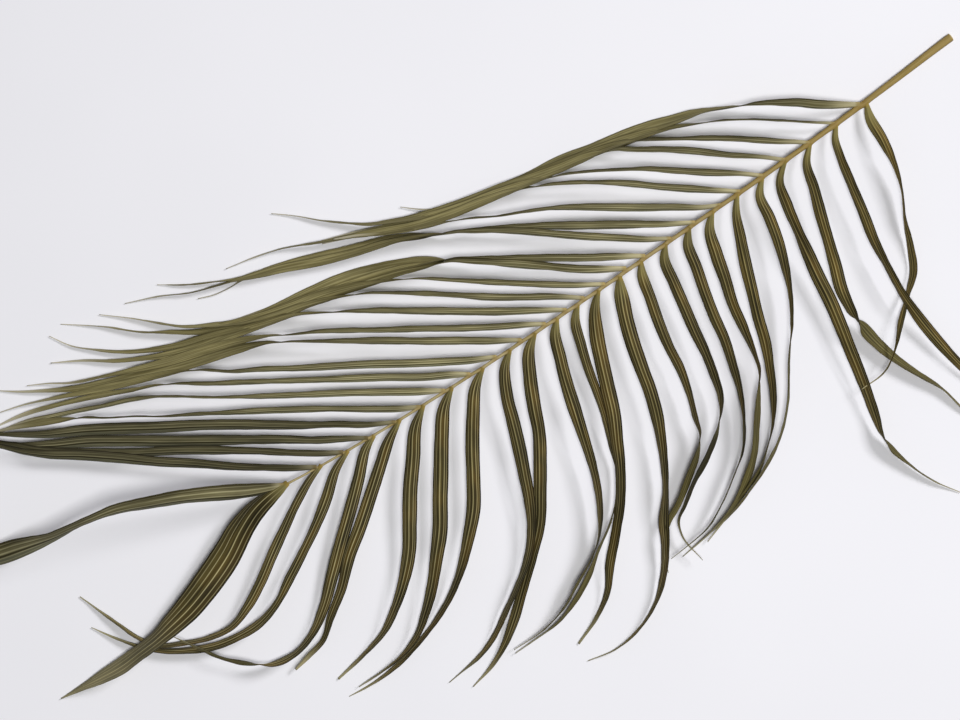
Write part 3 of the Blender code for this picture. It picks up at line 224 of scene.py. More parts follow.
RIGHT = [
    ("r01", (11, 8, 4, .5, .3, .2, 0), [
        (90, 4, 3.5), (100, -2, 5), (120.2, -15.7, 6.5), (130.3, -24, 6.8), (140.7, -31, 4.9),
        (150.9, -37.7, 3.4), (160.8, -43.3, 2), (178.4, -52.4, -2.4), (190, -58.3, -3.4),
        (199.8, -62.7, -5.8), (219.8, -68.8, -8.8), (239.7, -74.9, -10.9), (261.6, -80.2, -11.1),
        (289.3, -85.4, -11.4), (314.3, -91.9, -10.2), (339.6, -96.5, -6.4), (372, -103.5, -1)]),
    ("r02", (11, 8, 4, 2.5, 2.3, 2, .3), [
        (115, 5.5, 1.9), (130.2, -5.2, 1.4), (150.2, -20, .8), (170.2, -34.5, .8), (190.2, -47, .5),
        (210.2, -57.3, -1.7), (222, -63, -3.5), (240, -70.5, -7), (260, -76.5, -9), (285, -83, -9),
        (315, -88.5, -9), (345, -95, -9), (375, -101.5, -8), (400, -108, -6), (420, -116.5, -2),
        (430, -123.5, -1), (441, -133, -.5)]),
    ("r03", (12, 9, 7, 4.8, 4.6, 4.2, 2.5), [
        (141, 7, 3), (150.1, .2, 3.3), (160.3, -6.9, 4.2), (175.5, -18.4, 4.3), (190.4, -29.8, 4.4),
        (210.3, -43.6, 3.5), (230.3, -56.4, 2.1), (246, -66.5, 2.5), (262, -75, -4), (285, -82, -7),
        (315, -89, -8), (350, -96.5, -9), (385, -104, -9), (415, -112, -8), (440, -119.5, -6),
        (456, -127, -1.2)]),
    ("r04", (12, 10, 8.5, 7, 6.8, 6, 1.5, 0), [
        (165, 7.5, 3), (179.8, -5.1, 2.9), (200.2, -20.5, 4.4), (220, -37.5, 5.2), (240, -52.8, 4.8),
        (260, -66.2, 3.4), (272, -74.5, 3), (290, -81.5, -6), (320, -88, -8), (360, -98.5, -9),
        (400, -107.5, -9), (430, -117, -7), (455, -128, -3.5), (470, -135.5, -3), (485, -147, -2),
        (500, -159.5, -1), (515, -174, -.8), (530, -186.5, -.5)]),
    ("r05", (12.5, 12, 11, 9.3, 9, 8.5, 5.5, 2), [
        (187, 8, 3), (200.1, -2.6, 3.7), (220.6, -17.3, 5.4), (240.6, -32.4, 4.9), (260.6, -47.7, 3.2),
        (280.5, -60.2, 2), (300.3, -71.9, 1.5), (320, -82, 1.2), (335, -88, -4), (365, -97, -8),
        (400, -105, -9), (430, -114.5, -8), (460, -125.5, -6), (485, -135.5, -5), (509, -144.5, -3.5)]),
    ("r06", (12.5, 12.5, 12, 11.4, 11, 8, 2, .5), [
        (209, 8.5, 3), (220.2, .3, 4.2), (240.5, -15.1, 5.7), (260.2, -30.4, 5.3), (280, -46.8, 4.9),
        (299.9, -61.2, 3.3), (319.9, -74.1, 2.6), (338, -83.7, 1.5), (352, -90.5, -3), (380, -98.5, -7),
        (410, -105, -8), (440, -114, -7), (468, -126.5, -6), (490, -136.5, -4), (512, -146, -2),
        (540, -158.7, -1.2), (560, -164.5, -.8), (585, -169.8, -.5)]),
    ("r07", (13, 13, 13.5, 14, 14, 13, 10), [
        (228, 8.9, 3), (240.2, 2.8, 4.1), (260.8, -11.2, 5.9), (281, -24.4, 6.4), (301.2, -38.2, 6.7),
        (321.1, -51.7, 5.3), (340.9, -63.9, 3.5), (360.7, -73.8, 2), (380.4, -82.7, 1.2),
        (400.2, -93.7, 1), (420, -103, -2), (435, -109, -4), (450, -115, -3), (465, -122.5, -2.5),
        (480, -131.3, -2.5), (500, -141, -1)]),
    ("r08", (12, 11, 9, 6, 3, 2, 1, 0), [
        (252.8, 8.9, 3), (270.8, -1.6, 4.6), (291.3, -15, 5.9), (311.8, -28.3, 6.9), (332, -41.3, 6.7),
        (351.9, -54.4, 6.2), (371.9, -66.7, 4.8), (391.2, -78.2, 3.4), (404.7, -86, 2),
        (418.3, -92.3, 1.2), (435, -101, -4), (460, -114.5, -8), (490, -124.5, -10), (520, -136, -10),
        (545, -145.5, -8), (562, -151.5, -5), (577, -155, -2), (590, -155.5, -.9), (605, -158, -.8),
        (617, -162.5, -.5)]),
    ("r09", (12, 12.5, 12, 9.5, 6.5, 4.5, 2, 0), [
        (275.8, 8.9, 3), (290.6, -.2, 4.6), (310.4, -14.9, 5.8), (330.5, -29.9, 6.1), (350.1, -45.3, 6),
        (369.7, -60.9, 5.4), (389.6, -75.2, 4.3), (404.8, -84.8, 3.4), (420, -93.8, 1.2),
        (435, -101.5, -2.5), (460, -112.5, -5), (490, -122, -7), (520, -133, -8), (550, -145.5, -7),
        (570, -152.5, -5), (585, -158.3, -3), (600, -163, -1.2), (620, -170, -1), (640, -180.5, -.9),
        (668, -192, -.5)]),
    ("r10", (12, 11, 7, 1.5, .5, .4, .3), [
        (300.7, 8.9, 3), (319.5, -2.9, 5.4), (340.2, -15.7, 6.3), (360.7, -29.5, 5.7), (380.9, -42.6, 6),
        (400.9, -54.8, 5.9), (415.4, -64.9, 4.5), (431, -75, 2), (444.8, -83.9, -6.6), (465, -93.7, -9.4),
        (489.9, -103.3, -11.6), (514.8, -110.9, -11.8), (544.7, -116.5, -10.8), (574.8, -121.3, -9.4),
        (600, -129, -6), (622, -138, -1.2)]),
    ("r11", (12, 12, 9, 3, 2.5, 2.2, .8, 0), [
        (318.8, 8.9, 3), (330.5, 1.7, 5.6), (350.8, -12, 6.3), (370.6, -28.1, 6.3), (390.4, -43.8, 6.9),
        (405.2, -55.2, 5.2), (420, -66, 3.7), (431.8, -74.3, 2), (447.7, -81.4, -6), (467.7, -89.9, -9),
        (494.9, -98.2, -11), (525, -107, -11), (555, -115, -10), (585, -123, -7), (605, -131, -5),
        (620, -139, -3.5), (640, -151, -2.5), (650, -160, -1.5), (670, -179, -.8), (690, -196, -.5)]),
    ("r12", (12, 12, 11, 5.5, 4.5, 3.5, 1, -.8), [
        (339.8, 9.9, 3), (359.7, -2.6, 4.9), (380, -16.9, 5.1), (400.4, -31.8, 4.8), (420.4, -46.7, 4.3),
        (440.4, -61.7, 2.9), (460.1, -76.3, 1.2), (480, -88, -1.5), (500, -97.5, -5), (530, -108.5, -8),
        (560, -115.5, -8), (590, -124.5, -7), (612, -133, -5.5), (630, -139.4, -5), (650, -152.3, -3),
        (670, -165.8, -1.5), (690, -184, -.9), (720, -207, -.5)]),
    ("r13", (12, 12, 12, 8, 6.7, 5, 1.5, 0), [
        (359.7, 9.9, 3), (379.5, -4.8, 5.2), (400.6, -18.4, 5.6), (420.7, -32, 6.1), (440.5, -47, 4.5),
        (460.2, -61.8, 4.1), (480.3, -76, 2.7), (500.2, -89.2, 1.3), (518, -98.3, -1.5), (545, -108.5, -6),
        (575, -116, -8), (600, -124, -7), (625, -132.5, -6), (650, -140, -5), (670, -148.5, -4.5),
        (690, -160, -3), (710, -175.8, -1.5), (722, -187, -.9), (733, -204, -.5)]),
    ("r14", (12.5, 12.5, 12.5, 11, 8.8, 7, 3, 0), [
        (376.7, 9.9, 3), (400.1, -5.2, 5.7), (420.6, -18.1, 6.5), (440.8, -31.6, 6.4), (460.8, -45.5, 6.3),
        (480.9, -59.2, 5.8), (500.7, -72.9, 4.6), (520.5, -85.3, 2.8), (540.2, -97.3, -1.9),
        (558, -107.5, -3), (580, -114.5, -6), (610, -123, -8), (640, -130.5, -8), (662, -138.5, -6),
        (680, -147, -4), (700, -158, -3), (720, -171.8, -2), (744, -185.5, -.5)]),
    ("r15", (12.5, 12.5, 12.5, 12.5, 11, 8, 4, 0), [
        (396.7, 9.9, 3), (410, 1.7, 4.9), (431.1, -10.4, 5.6), (456.5, -26.1, 5.5), (481.6, -42.5, 5.3),
        (506.4, -58, 4.8), (531, -74, 4.2), (550.4, -86, 3.5), (568.2, -95.2, 1), (584, -104.5, -2),
        (602, -113, -5), (630, -123, -8), (660, -132, -8), (680, -139, -6), (700, -147, -4),
        (715, -153, -2.5), (740, -163.5, -2), (755, -173, -1), (770, -181, -.5)]),
    ("r16", (12.5, 13, 13, 12, 10, 6, 3, 0), [
        (419.8, 9.9, 3), (440.2, -3, 5.9), (460.6, -16.8, 6.5), (486, -33.5, 6.1), (510.9, -50.7, 6.1),
        (535.9, -67.2, 4.7), (555.6, -80.1, 2.2), (575.4, -93, 1.2), (592.2, -102.7, -4),
        (615, -111.5, -8), (640, -119, -9), (670, -129, -9), (695, -139.5, -7), (715, -147, -7),
        (740, -158, -5), (760, -169.4, -3), (780, -182, -1.5), (792, -191, -.5)]),
    ("r17", (12.5, 13, 13, 13, 12, 8, 4, .5), [
        (443.8, 9.9, 3), (460.1, 1.9, 6), (481, -10.3, 6.8), (506.5, -25.8, 7), (531.7, -41.9, 6.9),
        (556.8, -56.9, 6.3), (581.6, -71.6, 5.3), (606.5, -87.3, 4.2), (626, -98.3, 3.1),
        (645.4, -112.8, 1.5), (662.2, -122.2, -3), (685, -131.5, -6), (705, -139, -6), (725, -147, -6),
        (745.4, -155.4, -3.6), (760.7, -161.8, -2.5), (780.4, -169.5, -1.2), (801, -175.5, -.5)]),
    ("r18", (13, 13, 13.5, 14, 13, 9, 4, .3), [
        (469, 9.9, 3), (480.3, 2.6, 5.8), (500.7, -8.8, 6.4), (526, -25.6, 6.6), (551.2, -41.2, 6.2),
        (576.3, -56.8, 5), (601.3, -72.5, 4.6), (626.1, -87.9, 4.3), (645.7, -99.9, 4), (665.3, -113.1, 2),
        (685, -124, -2), (702, -131, -3.5), (719.8, -139.3, -4.5), (740.1, -147.6, -4.2),
        (760.8, -155.4, -3.8), (780.9, -162, -3.6), (803.1, -166.5, -1.6), (814, -167.5, -.6)]),
    ("r19", (13, 13, 14, 14.5, 14, 10.5, 5, 1.5), [
        (493, 9.4, 3), (510.5, -1.5, 6.5), (530.9, -14.7, 6.4), (556.2, -31, 6), (580.9, -46.2, 5.5),
        (606, -61.6, 4.9), (630.8, -77.2, 3.4), (650.5, -89.9, 1.9), (672, -105.2, 2.5),
        (690.1, -116.9, 2.1), (706.1, -124.8, 4.3), (726.4, -132.5, 3.3), (746.3, -141.1, 3.9),
        (766.4, -148.9, 4.7), (785.6, -156.2, 5), (805, -161.5, 2.5), (822, -165, .8)]),
    ("r20", (13, 13.5, 14.5, 15.5, 15.5, 12.5, 7.5, 3), [
        (517, 9, 3), (530.6, 1.5, 5.5), (550.8, -11.6, 5.6), (575.8, -28.8, 5.1), (600.5, -44.6, 5.7),
        (625.5, -60.1, 5.5), (650.7, -75.1, 3.9), (670.5, -87.1, 3), (690.2, -98.3, 1.8),
        (710.2, -111.7, 1), (730, -123.5, 1.5), (742.3, -132.1, 2.5), (757.4, -140.3, -3.8),
        (775.4, -149.3, -5.8), (790.4, -156, -4.5), (808, -163, -2), (828, -169.5, -.6)]),
    ("r21", (12, 12, 11, 9, 7.5, 7.5, 6.5, 0), [
        (540, 8, 3), (560.4, -3.1, 5.2), (580.7, -17.2, 5.7), (600.7, -29.7, 6.6), (620.5, -43.2, 8.1),
        (645.4, -60.3, 8.7), (670.2, -76.4, 9.1), (700.1, -94.2, 9.8), (725.3, -110, 9.9),
        (751, -125.5, 9.5), (780.6, -141.4, 6.4), (790.4, -147.6, 5.7), (803.1, -156.3, 3.5),
        (820, -169, 2.5), (845, -192, .7)]),
    ("r22", (13, 13, 12, 10.5, 9, 9.5, 8, 0), [
        (565, 6.5, 3), (580.6, -3.2, 5.4), (600.8, -15.4, 6.5), (621, -29.6, 7.3), (646, -46.1, 8),
        (670.6, -61.9, 9.1), (700.1, -81, 9.3), (729.2, -100.6, 9.6), (753.4, -116.3, 9.6),
        (778.7, -130, 8.4), (796.6, -141.7, 5), (810, -153.5, 3), (825, -170, 2), (840, -191, .7)]),
    ("r23", (13, 13, 13, 12, 11, 11.5, 10, 2), [
        (588, 5, 3.5), (600, -2.2, 5.2), (620.3, -16.3, 5.8), (644.9, -34.6, 6.1), (669.5, -51.8, 7.4),
        (694.1, -68.2, 7.8), (719.2, -83.4, 7.4), (745, -99.1, 8.8), (770, -116.5, 8.5),
        (790, -132.5, 6.5), (803, -146, 4.5), (815, -158, 3), (832, -177, 2), (853, -196, .7)]),
    ("r24", (14, 14, 14, 13.5, 13, 13.5, 12, 3), [
        (612, 3, 3.5), (625.3, -5.1, 5.3), (645.7, -19.3, 6.1), (665.8, -33.7, 6.6), (690.4, -53.2, 8),
        (715.2, -71.7, 8.4), (739.8, -91.8, 9), (764.7, -111, 8.8), (785.1, -125.4, 7), (800.7, -138.8, 5),
        (811.8, -150.7, 3.7), (827.1, -165.5, 2.9), (850, -186, .7)]),
    ("r25", (30, 41, 46, 43, 28, 7, 1, 0), [
        (642, .4, 4), (655.2, -5.7, 9.4), (670.1, -13.8, 12.4), (685, -22.5, 13.5), (709.3, -35.9, 11.7),
        (734.5, -47.3, 10.9), (759.6, -57.6, 8.2), (780, -62.3, 6.3), (800.1, -65.9, 5.9),
        (812.1, -67.6, 7.6), (828, -71.5, 12.4), (845, -75.9, 16.6), (862.1, -80.4, 17.8),
        (885.1, -88.8, 15.3), (910.2, -98.7, 9.8), (932, -109, .9)]),
]

# The thread that has split off the end of the right row's eighth leaflet.
SPLIT = ("r08_split", (3, 1.5, 0), [
    (548, -147, -2), (565, -153, -3), (580, -157.5, -2.2), (600, -167, -1.4), (617, -176, -1),
    (638, -190, -.5)])


def rachis_height(x):
    """Height of the middle of the rachis at a distance along the leaf."""
    return np.interp(x, [row[0] for row in RACHIS], [row[3] for row in RACHIS])


def smooth(knots, values, at):
    """Cubic Hermite curve through the values, with slopes from their neighbours."""
    knots, values = np.asarray(knots, float), np.asarray(values, float)
    slope = np.gradient(values, knots)
    i = np.clip(np.searchsorted(knots, at, side="right") - 1, 0, len(knots) - 2)
    h = knots[i + 1] - knots[i]
    u = np.clip((at - knots[i]) / h, 0, 1)
    return ((1 + 2 * u) * (1 - u) ** 2 * values[i] + u * (1 - u) ** 2 * h * slope[i]
            + u * u * (3 - 2 * u) * values[i + 1] + u * u * (u - 1) * h * slope[i + 1])


def eased(values, reach=4):
    """Running mean along a blade, so that nothing bends sharply."""
    padded = np.concatenate([[values[0]] * reach, values, [values[-1]] * reach])
    return np.convolve(padded, np.ones(2 * reach + 1) / (2 * reach + 1), "valid")


def frames(centre, station):
    """Unit run, left and top directions of a path."""
    run = np.gradient(centre, station, axis=0)
    run /= np.linalg.norm(run, axis=1)[:, None]
    left = np.stack([-run[:, 1], run[:, 0], 0 * run[:, 0]], 1)
    left /= np.linalg.norm(left, axis=1)[:, None]
    return run, left, np.cross(run, left)


def skin(name, points, marks):
    """Closed mesh over rings of points, with one point more at each end, and its float attributes."""
    count, around = points.shape[:2]
    ends = np.stack([points[0].mean(0), points[-1].mean(0)])
    verts = np.concatenate([points.reshape(-1, 3), ends]) - np.array([ORIGIN_X, 0, 0])
    i, j = np.meshgrid(np.arange(count - 1), np.arange(around), indexing="ij")
    a, b = i * around + j, i * around + (j + 1) % around
    quads = np.stack([a, b, b + around, a + around], -1).reshape(-1, 4)
    k = np.arange(around)
    last = (count - 1) * around
    first_fan = np.stack([(k + 1) % around, k, 0 * k + count * around], -1)
    last_fan = np.stack([last + k, last + (k + 1) % around, 0 * k + count * around + 1], -1)
    loops = np.concatenate([quads.ravel(), first_fan.ravel(), last_fan.ravel()]).astype(np.int32)
    sizes = np.concatenate([np.full(len(quads), 4), np.full(2 * around, 3)])
    starts = np.concatenate([[0], np.cumsum(sizes)[:-1]]).astype(np.int32)
    mesh = bpy.data.meshes.new(name)
    mesh.vertices.add(len(verts))
    mesh.vertices.foreach_set("co", (verts * MM).ravel())
    mesh.loops.add(len(loops))
    mesh.loops.foreach_set("vertex_index", loops)
    mesh.polygons.add(len(sizes))
    mesh.polygons.foreach_set("loop_start", starts)
    mesh.update(calc_edges=True)
    for key, value in marks.items():
        value = np.broadcast_to(value, (count, around)).reshape(-1)
        value = np.concatenate([value, [value[:around].mean(), value[-around:].mean()]])
        mesh.attributes.new(key, "FLOAT", "POINT").data.foreach_set("value", value.astype(np.float32))

    def corners(*places):
        """Texture places of a set of faces, from the u and v of each of their corners."""
        return np.stack([np.stack(np.broadcast_arrays(u, v), -1) for u, v in places], -2).reshape(-1, 2)

    u0, u1, middle = (0.02 + 0.96 * (j + step) / around for step in (0, 1, 0.5))
    v0, v1 = (0.03 + 0.94 * (i + step) / (count - 1) for step in (0, 1))
    low, high = 0.02, 0.98
    layer = mesh.uv_layers.new(name="OFBake")
    layer.data.foreach_set("uv", np.concatenate([
        corners((u0, v0), (u1, v0), (u1, v1), (u0, v1)),
        corners((u1[0], low), (u0[0], low), (middle[0], low / 4)),
        corners((u0[0], high), (u1[0], high), (middle[0], 1 - low / 4))]).ravel().astype(np.float32))
    mesh.polygons.foreach_set("use_smooth", np.ones(len(sizes), bool))
    mesh.validate()
    item = bpy.data.objects.new(name, mesh)
    bpy.context.scene.collection.objects.link(item)
    return item


def leaflet(name, heights, rows, fold, side, number):
    """A folded blade. At v from -1 to 1 across, a point lies v * half * cos(fold) to the side and about
    |v| * half * sin(fold) below the rib, turned by the roll that gives the width seen from above. The edge
    waves, ribs stand up on the upper face, and the lowest edge follows the given heights."""
    rows = np.array(rows, float)
    rng = np.random.default_rng(SEED + number)
    knots = np.concatenate([[0], np.cumsum(np.hypot(np.diff(rows[:, 0]), np.diff(rows[:, 1])))])
    length = knots[-1]
    share = np.linspace(0, 1, ALONG)
    station = share * length
    x, y, seen = (smooth(knots, rows[:, k], station) for k in range(3))
    at_rachis = abs(rows[0, 1]) < ROOT_REACH
    root = rachis_height(rows[0, 0]) - ROOT_SINK if at_rachis else heights[0] + 1.0
    low = smooth(np.linspace(0, 1, len(heights) + 1), (root,) + tuple(h + LIFT for h in heights), share)
    phi = np.radians(fold) * (1 - (1 - FOLD_END) * np.clip(share / FOLD_RUN, 0, 1))
    widest = WIDEST * np.abs(rows[:, 2]).max()
    grown = seen[0] + (widest - seen[0]) * np.clip(share / GROW, 0, 1) ** GROW_CURVE
    tapered = widest * (1 - np.clip((share - TAPER) / (1 - TAPER), 0, 1) ** TAPER_CURVE)
    spread = eased(np.maximum(np.minimum(grown, tapered), np.maximum(SLACK * np.abs(seen), TIP_W)))
    roll = side * eased(np.arccos(np.clip(FACING * seen / spread, -1, 1)), 3)
    phi = eased(np.minimum(phi, np.abs(np.pi / 2 - np.abs(roll)) + EDGE_FOLD), 2)
    half = spread / 2 / np.cos(phi)
    thick = BLADE_T + (ROOT_T - BLADE_T) * np.clip(1 - station / ROOT_RUN, 0, 1) ** 2

    broad = name == BROAD
    count = 3 * ACROSS if broad else ACROSS
    aside = 0.46 + 0.12 * (rng.random() - 0.5)
    v = np.sin(np.linspace(-1, 1, count) * math.pi / 2 * CROWDING) / math.sin(math.pi / 2 * CROWDING)
    ridge = np.sqrt(v * v + RIB_ROUND) - math.sqrt(RIB_ROUND)
    lean = v / np.sqrt(v * v + RIB_ROUND)
    s, p = station[:, None], phi[:, None]
    # The waves and ribs fade out towards both ends.
    calm = np.clip(share / 0.12, 0, 1)[:, None] * np.clip((1 - share) / 0.1, 0, 1)[:, None]
    wave = sum(size * np.sin(2 * math.pi * (s / pitch + rng.random()) + WAVE_SKEW * v)
               for size, pitch in WAVES)
    across = half[:, None] * np.cos(p) * v
    up = -half[:, None] * np.sin(p) * ridge + calm * wave * np.abs(v) ** 1.5
    # Ribs: place and reach as shares of the half width, height in mm
    ribs = ((BROAD_1, .05, .3), (BROAD_2, .05, .25)) if broad else ((0, .08, .28), (aside, .08, .18))
    rib = sum(size * np.exp(-((np.abs(v) - at) / reach) ** 2) for at, reach, size in ribs)
    t = thick[:, None] / 2 * (1 - 0.55 * v ** 4)
    over = calm * rib
    top_a, top_u = across + t * np.sin(p) * lean, up + t * np.cos(p) + over
    low_a, low_u = across - t * np.sin(p) * lean, up - t * np.cos(p) + 0.35 * over
    ring_a = np.concatenate([top_a[:, ::-1], low_a], 1)
    ring_u = np.concatenate([top_u[:, ::-1], low_u], 1)
    c, r = np.cos(roll)[:, None], np.sin(roll)[:, None]
    ring_a, ring_u = ring_a * c - ring_u * r, ring_a * r + ring_u * c
    ring_a = ring_a - eased((ring_a.max(1) + ring_a.min(1)) / 2)[:, None]
    base = eased(np.maximum(low, EDGE_CLEAR) - ring_u.min(1))
    centre = np.stack([x, y, base], 1)
    run, left, top = frames(centre, station)
    points = centre[:, None] + left[:, None] * ring_a[..., None] + top[:, None] * ring_u[..., None]
    points[..., 2] = np.maximum(points[..., 2], CLEAR)
    face = np.concatenate([v[::-1], v])
    place = rows[0, 0] / RACHIS_RUN
    khaki = KHAKI_END.get(name, KHAKI - (KHAKI_LESS_LEFT if side > 0 else KHAKI_LESS_RIGHT) * place)
    row_tone = (TONE_LEFT if side > 0 else TONE_RIGHT) * (0.93 + 0.14 * rng.random())       # 7% about it
    tone = np.full(ALONG, TONES.get(name, row_tone))
    # Painted shade: the turned-over part of one blade is darkened.
    if name == SHADED_BLADE:
        begun, left_over = (share - SHADE_FROM) / 0.05, (SHADE_TO - share) / 0.03
        tone -= PAINTED_SHADE * np.clip(begun, 0, 1) * np.clip(left_over, 0, 1)
    marks = {"along": station[:, None], "share": share[:, None], "across": face[None],
             "under": np.repeat([0.0, 1.0], count)[None], "tone": tone[:, None],
             "aside": aside, "broad": 1.0 if broad else 0.0, "row": 0.0 if side > 0 else 1.0,
             "root": np.clip(1 - station / khaki, 0, 1)[:, None], "place": place}
    return skin(name, points, marks)


def stalk():
    """The stalk and rachis: a tube with a low ridge along its top and a swelling where each leaflet
    grows out."""
    rows = np.array(RACHIS, float)
    x = np.concatenate([CUT, np.linspace(0, rows[-1, 0], RINGS)])
    y, z = (smooth(rows[:, 0], rows[:, k], x) for k in (1, 3))
    width = np.interp(x, rows[:, 0], rows[:, 2])
    z[x < FLAT_TO] = rows[0, 3]
    angle = np.radians(-90 + 360 * (np.arange(ROUND) + 0.5) / ROUND)
    sa, su = np.cos(angle), np.sin(angle)
    radial = 1 + 0 * x[:, None] * sa
    for row, sign in ((LEFT, 1), (RIGHT, -1)):
        for _, _, points in row:
            near = np.exp(-((x[:, None] - points[0][0] - JOINT_AHEAD) / JOINT_REACH) ** 2)
            radial = radial + JOINT_SWELL * near * np.clip(sign * sa + 0.2, 0, 1) ** 1.5
    ridged = x[:, None] > RIDGE_FROM
    off_top = angle - math.pi / 2
    radial = radial * (1 + 0.07 * np.exp(-(off_top / 0.22) ** 2) * ridged)
    radial = radial - 0.06 * np.exp(-((np.abs(off_top) - 0.55) / 0.2) ** 2) * ridged
    radial[:2] *= np.array([0.9, 0.97])[:, None]        # the cut's rounded edge
    half = width[:, None] / 2 * radial
    centre = np.stack([x, y, z], 1)
    run, left, top = frames(centre, x)
    points = centre[:, None] + left[:, None] * (sa * half)[..., None] + top[:, None] * (su * half)[..., None]
    points[..., 2] = np.maximum(points[..., 2], 0.0)
    roots = np.array([points[0][0] for row in (LEFT, RIGHT) for _, _, points in row])
    nearest = np.abs(x[:, None] - roots - JOINT_AHEAD).min(1)
    joint = np.exp(-(nearest / TINT_REACH) ** 2) * np.clip((TINT_TO - x) / TINT_FADE, 0, 1)
    marks = {"along": x[:, None], "high": su[None], "joint": joint[:, None],
             "end": (x < CUT[1] + 0.05)[:, None] * 1.0}
    return skin("rachis", points, marks)


def lin(code):
    """sRGB hex colour to linear RGBA."""
    parts = [int(code[i:i + 2], 16) / 255 for i in (1, 3, 5)]
    return tuple(c / 12.92 if c <= 0.04045 else ((c + 0.055) / 1.055) ** 2.4 for c in parts) + (1.0,)


FIBRE_RELIEF = 0.0003       # height of the fibres, m
LEAF_IOR = 1.42             # index of refraction of dry leaf


class Graph:
    """A material's nodes: add one and link its inputs in a single call."""

    def __init__(self, name):
        self.material = bpy.data.materials.new(name)
        self.material.use_nodes = True
        self.tree = self.material.node_tree
        self.shader = self.tree.nodes["Principled BSDF"]

    def add(self, kind, inputs=None, out=0, **settings):
        node = self.tree.nodes.new(kind)
        for key, value in settings.items():
            setattr(node, key, value)
        for key, value in (inputs or {}).items():
            self.put(node.inputs[key], value)
        return node.outputs[out]

    def put(self, socket, value):
        if isinstance(value, bpy.types.NodeSocket):
            self.tree.links.new(value, socket)
        else:
            socket.default_value = value

    def read(self, name):
        return self.add("ShaderNodeAttribute", out=2, attribute_name=name)

    def sum(self, kind, a, b=0.0):
        return self.add("ShaderNodeMath", {0: a, 1: b}, operation=kind)

    def times(self, a, b):
        return self.sum("MULTIPLY", a, b)

    def ramp(self, value, a, b, c=0.0, d=1.0):
        """Smooth change from c, where the value is a, to d, where it is b."""
        return self.add("ShaderNodeMapRange", {0: value, 1: a, 2: b, 3: c, 4: d},
                        interpolation_type="SMOOTHSTEP")

    def mix(self, share, a, b, kind="MIX"):
        return self.add("ShaderNodeMix", {0: share, 6: a, 7: b}, out=2, data_type="RGBA", blend_type=kind)

    def vector(self, x, y, z):
        return self.add("ShaderNodeCombineXYZ", {0: x, 1: y, 2: z})

    def noise(self, vector, scale, detail):
        return self.add("ShaderNodeTexNoise", {"Vector": vector, "Scale": scale, "Detail": detail})

    def surface(self, colour, roughness):
        self.put(self.shader.inputs["Base Color"], colour)
        self.put(self.shader.inputs["Roughness"], roughness)

    def relief(self, height, strength):
        """Low fibres, in strength a share of FIBRE_RELIEF, and the faint sheen of a dry leaf."""
        bump = self.add("ShaderNodeBump", {"Height": height, "Strength": strength, "Distance": FIBRE_RELIEF})
        self.put(self.shader.inputs["Normal"], bump)
        self.put(self.shader.inputs["IOR"], LEAF_IOR)


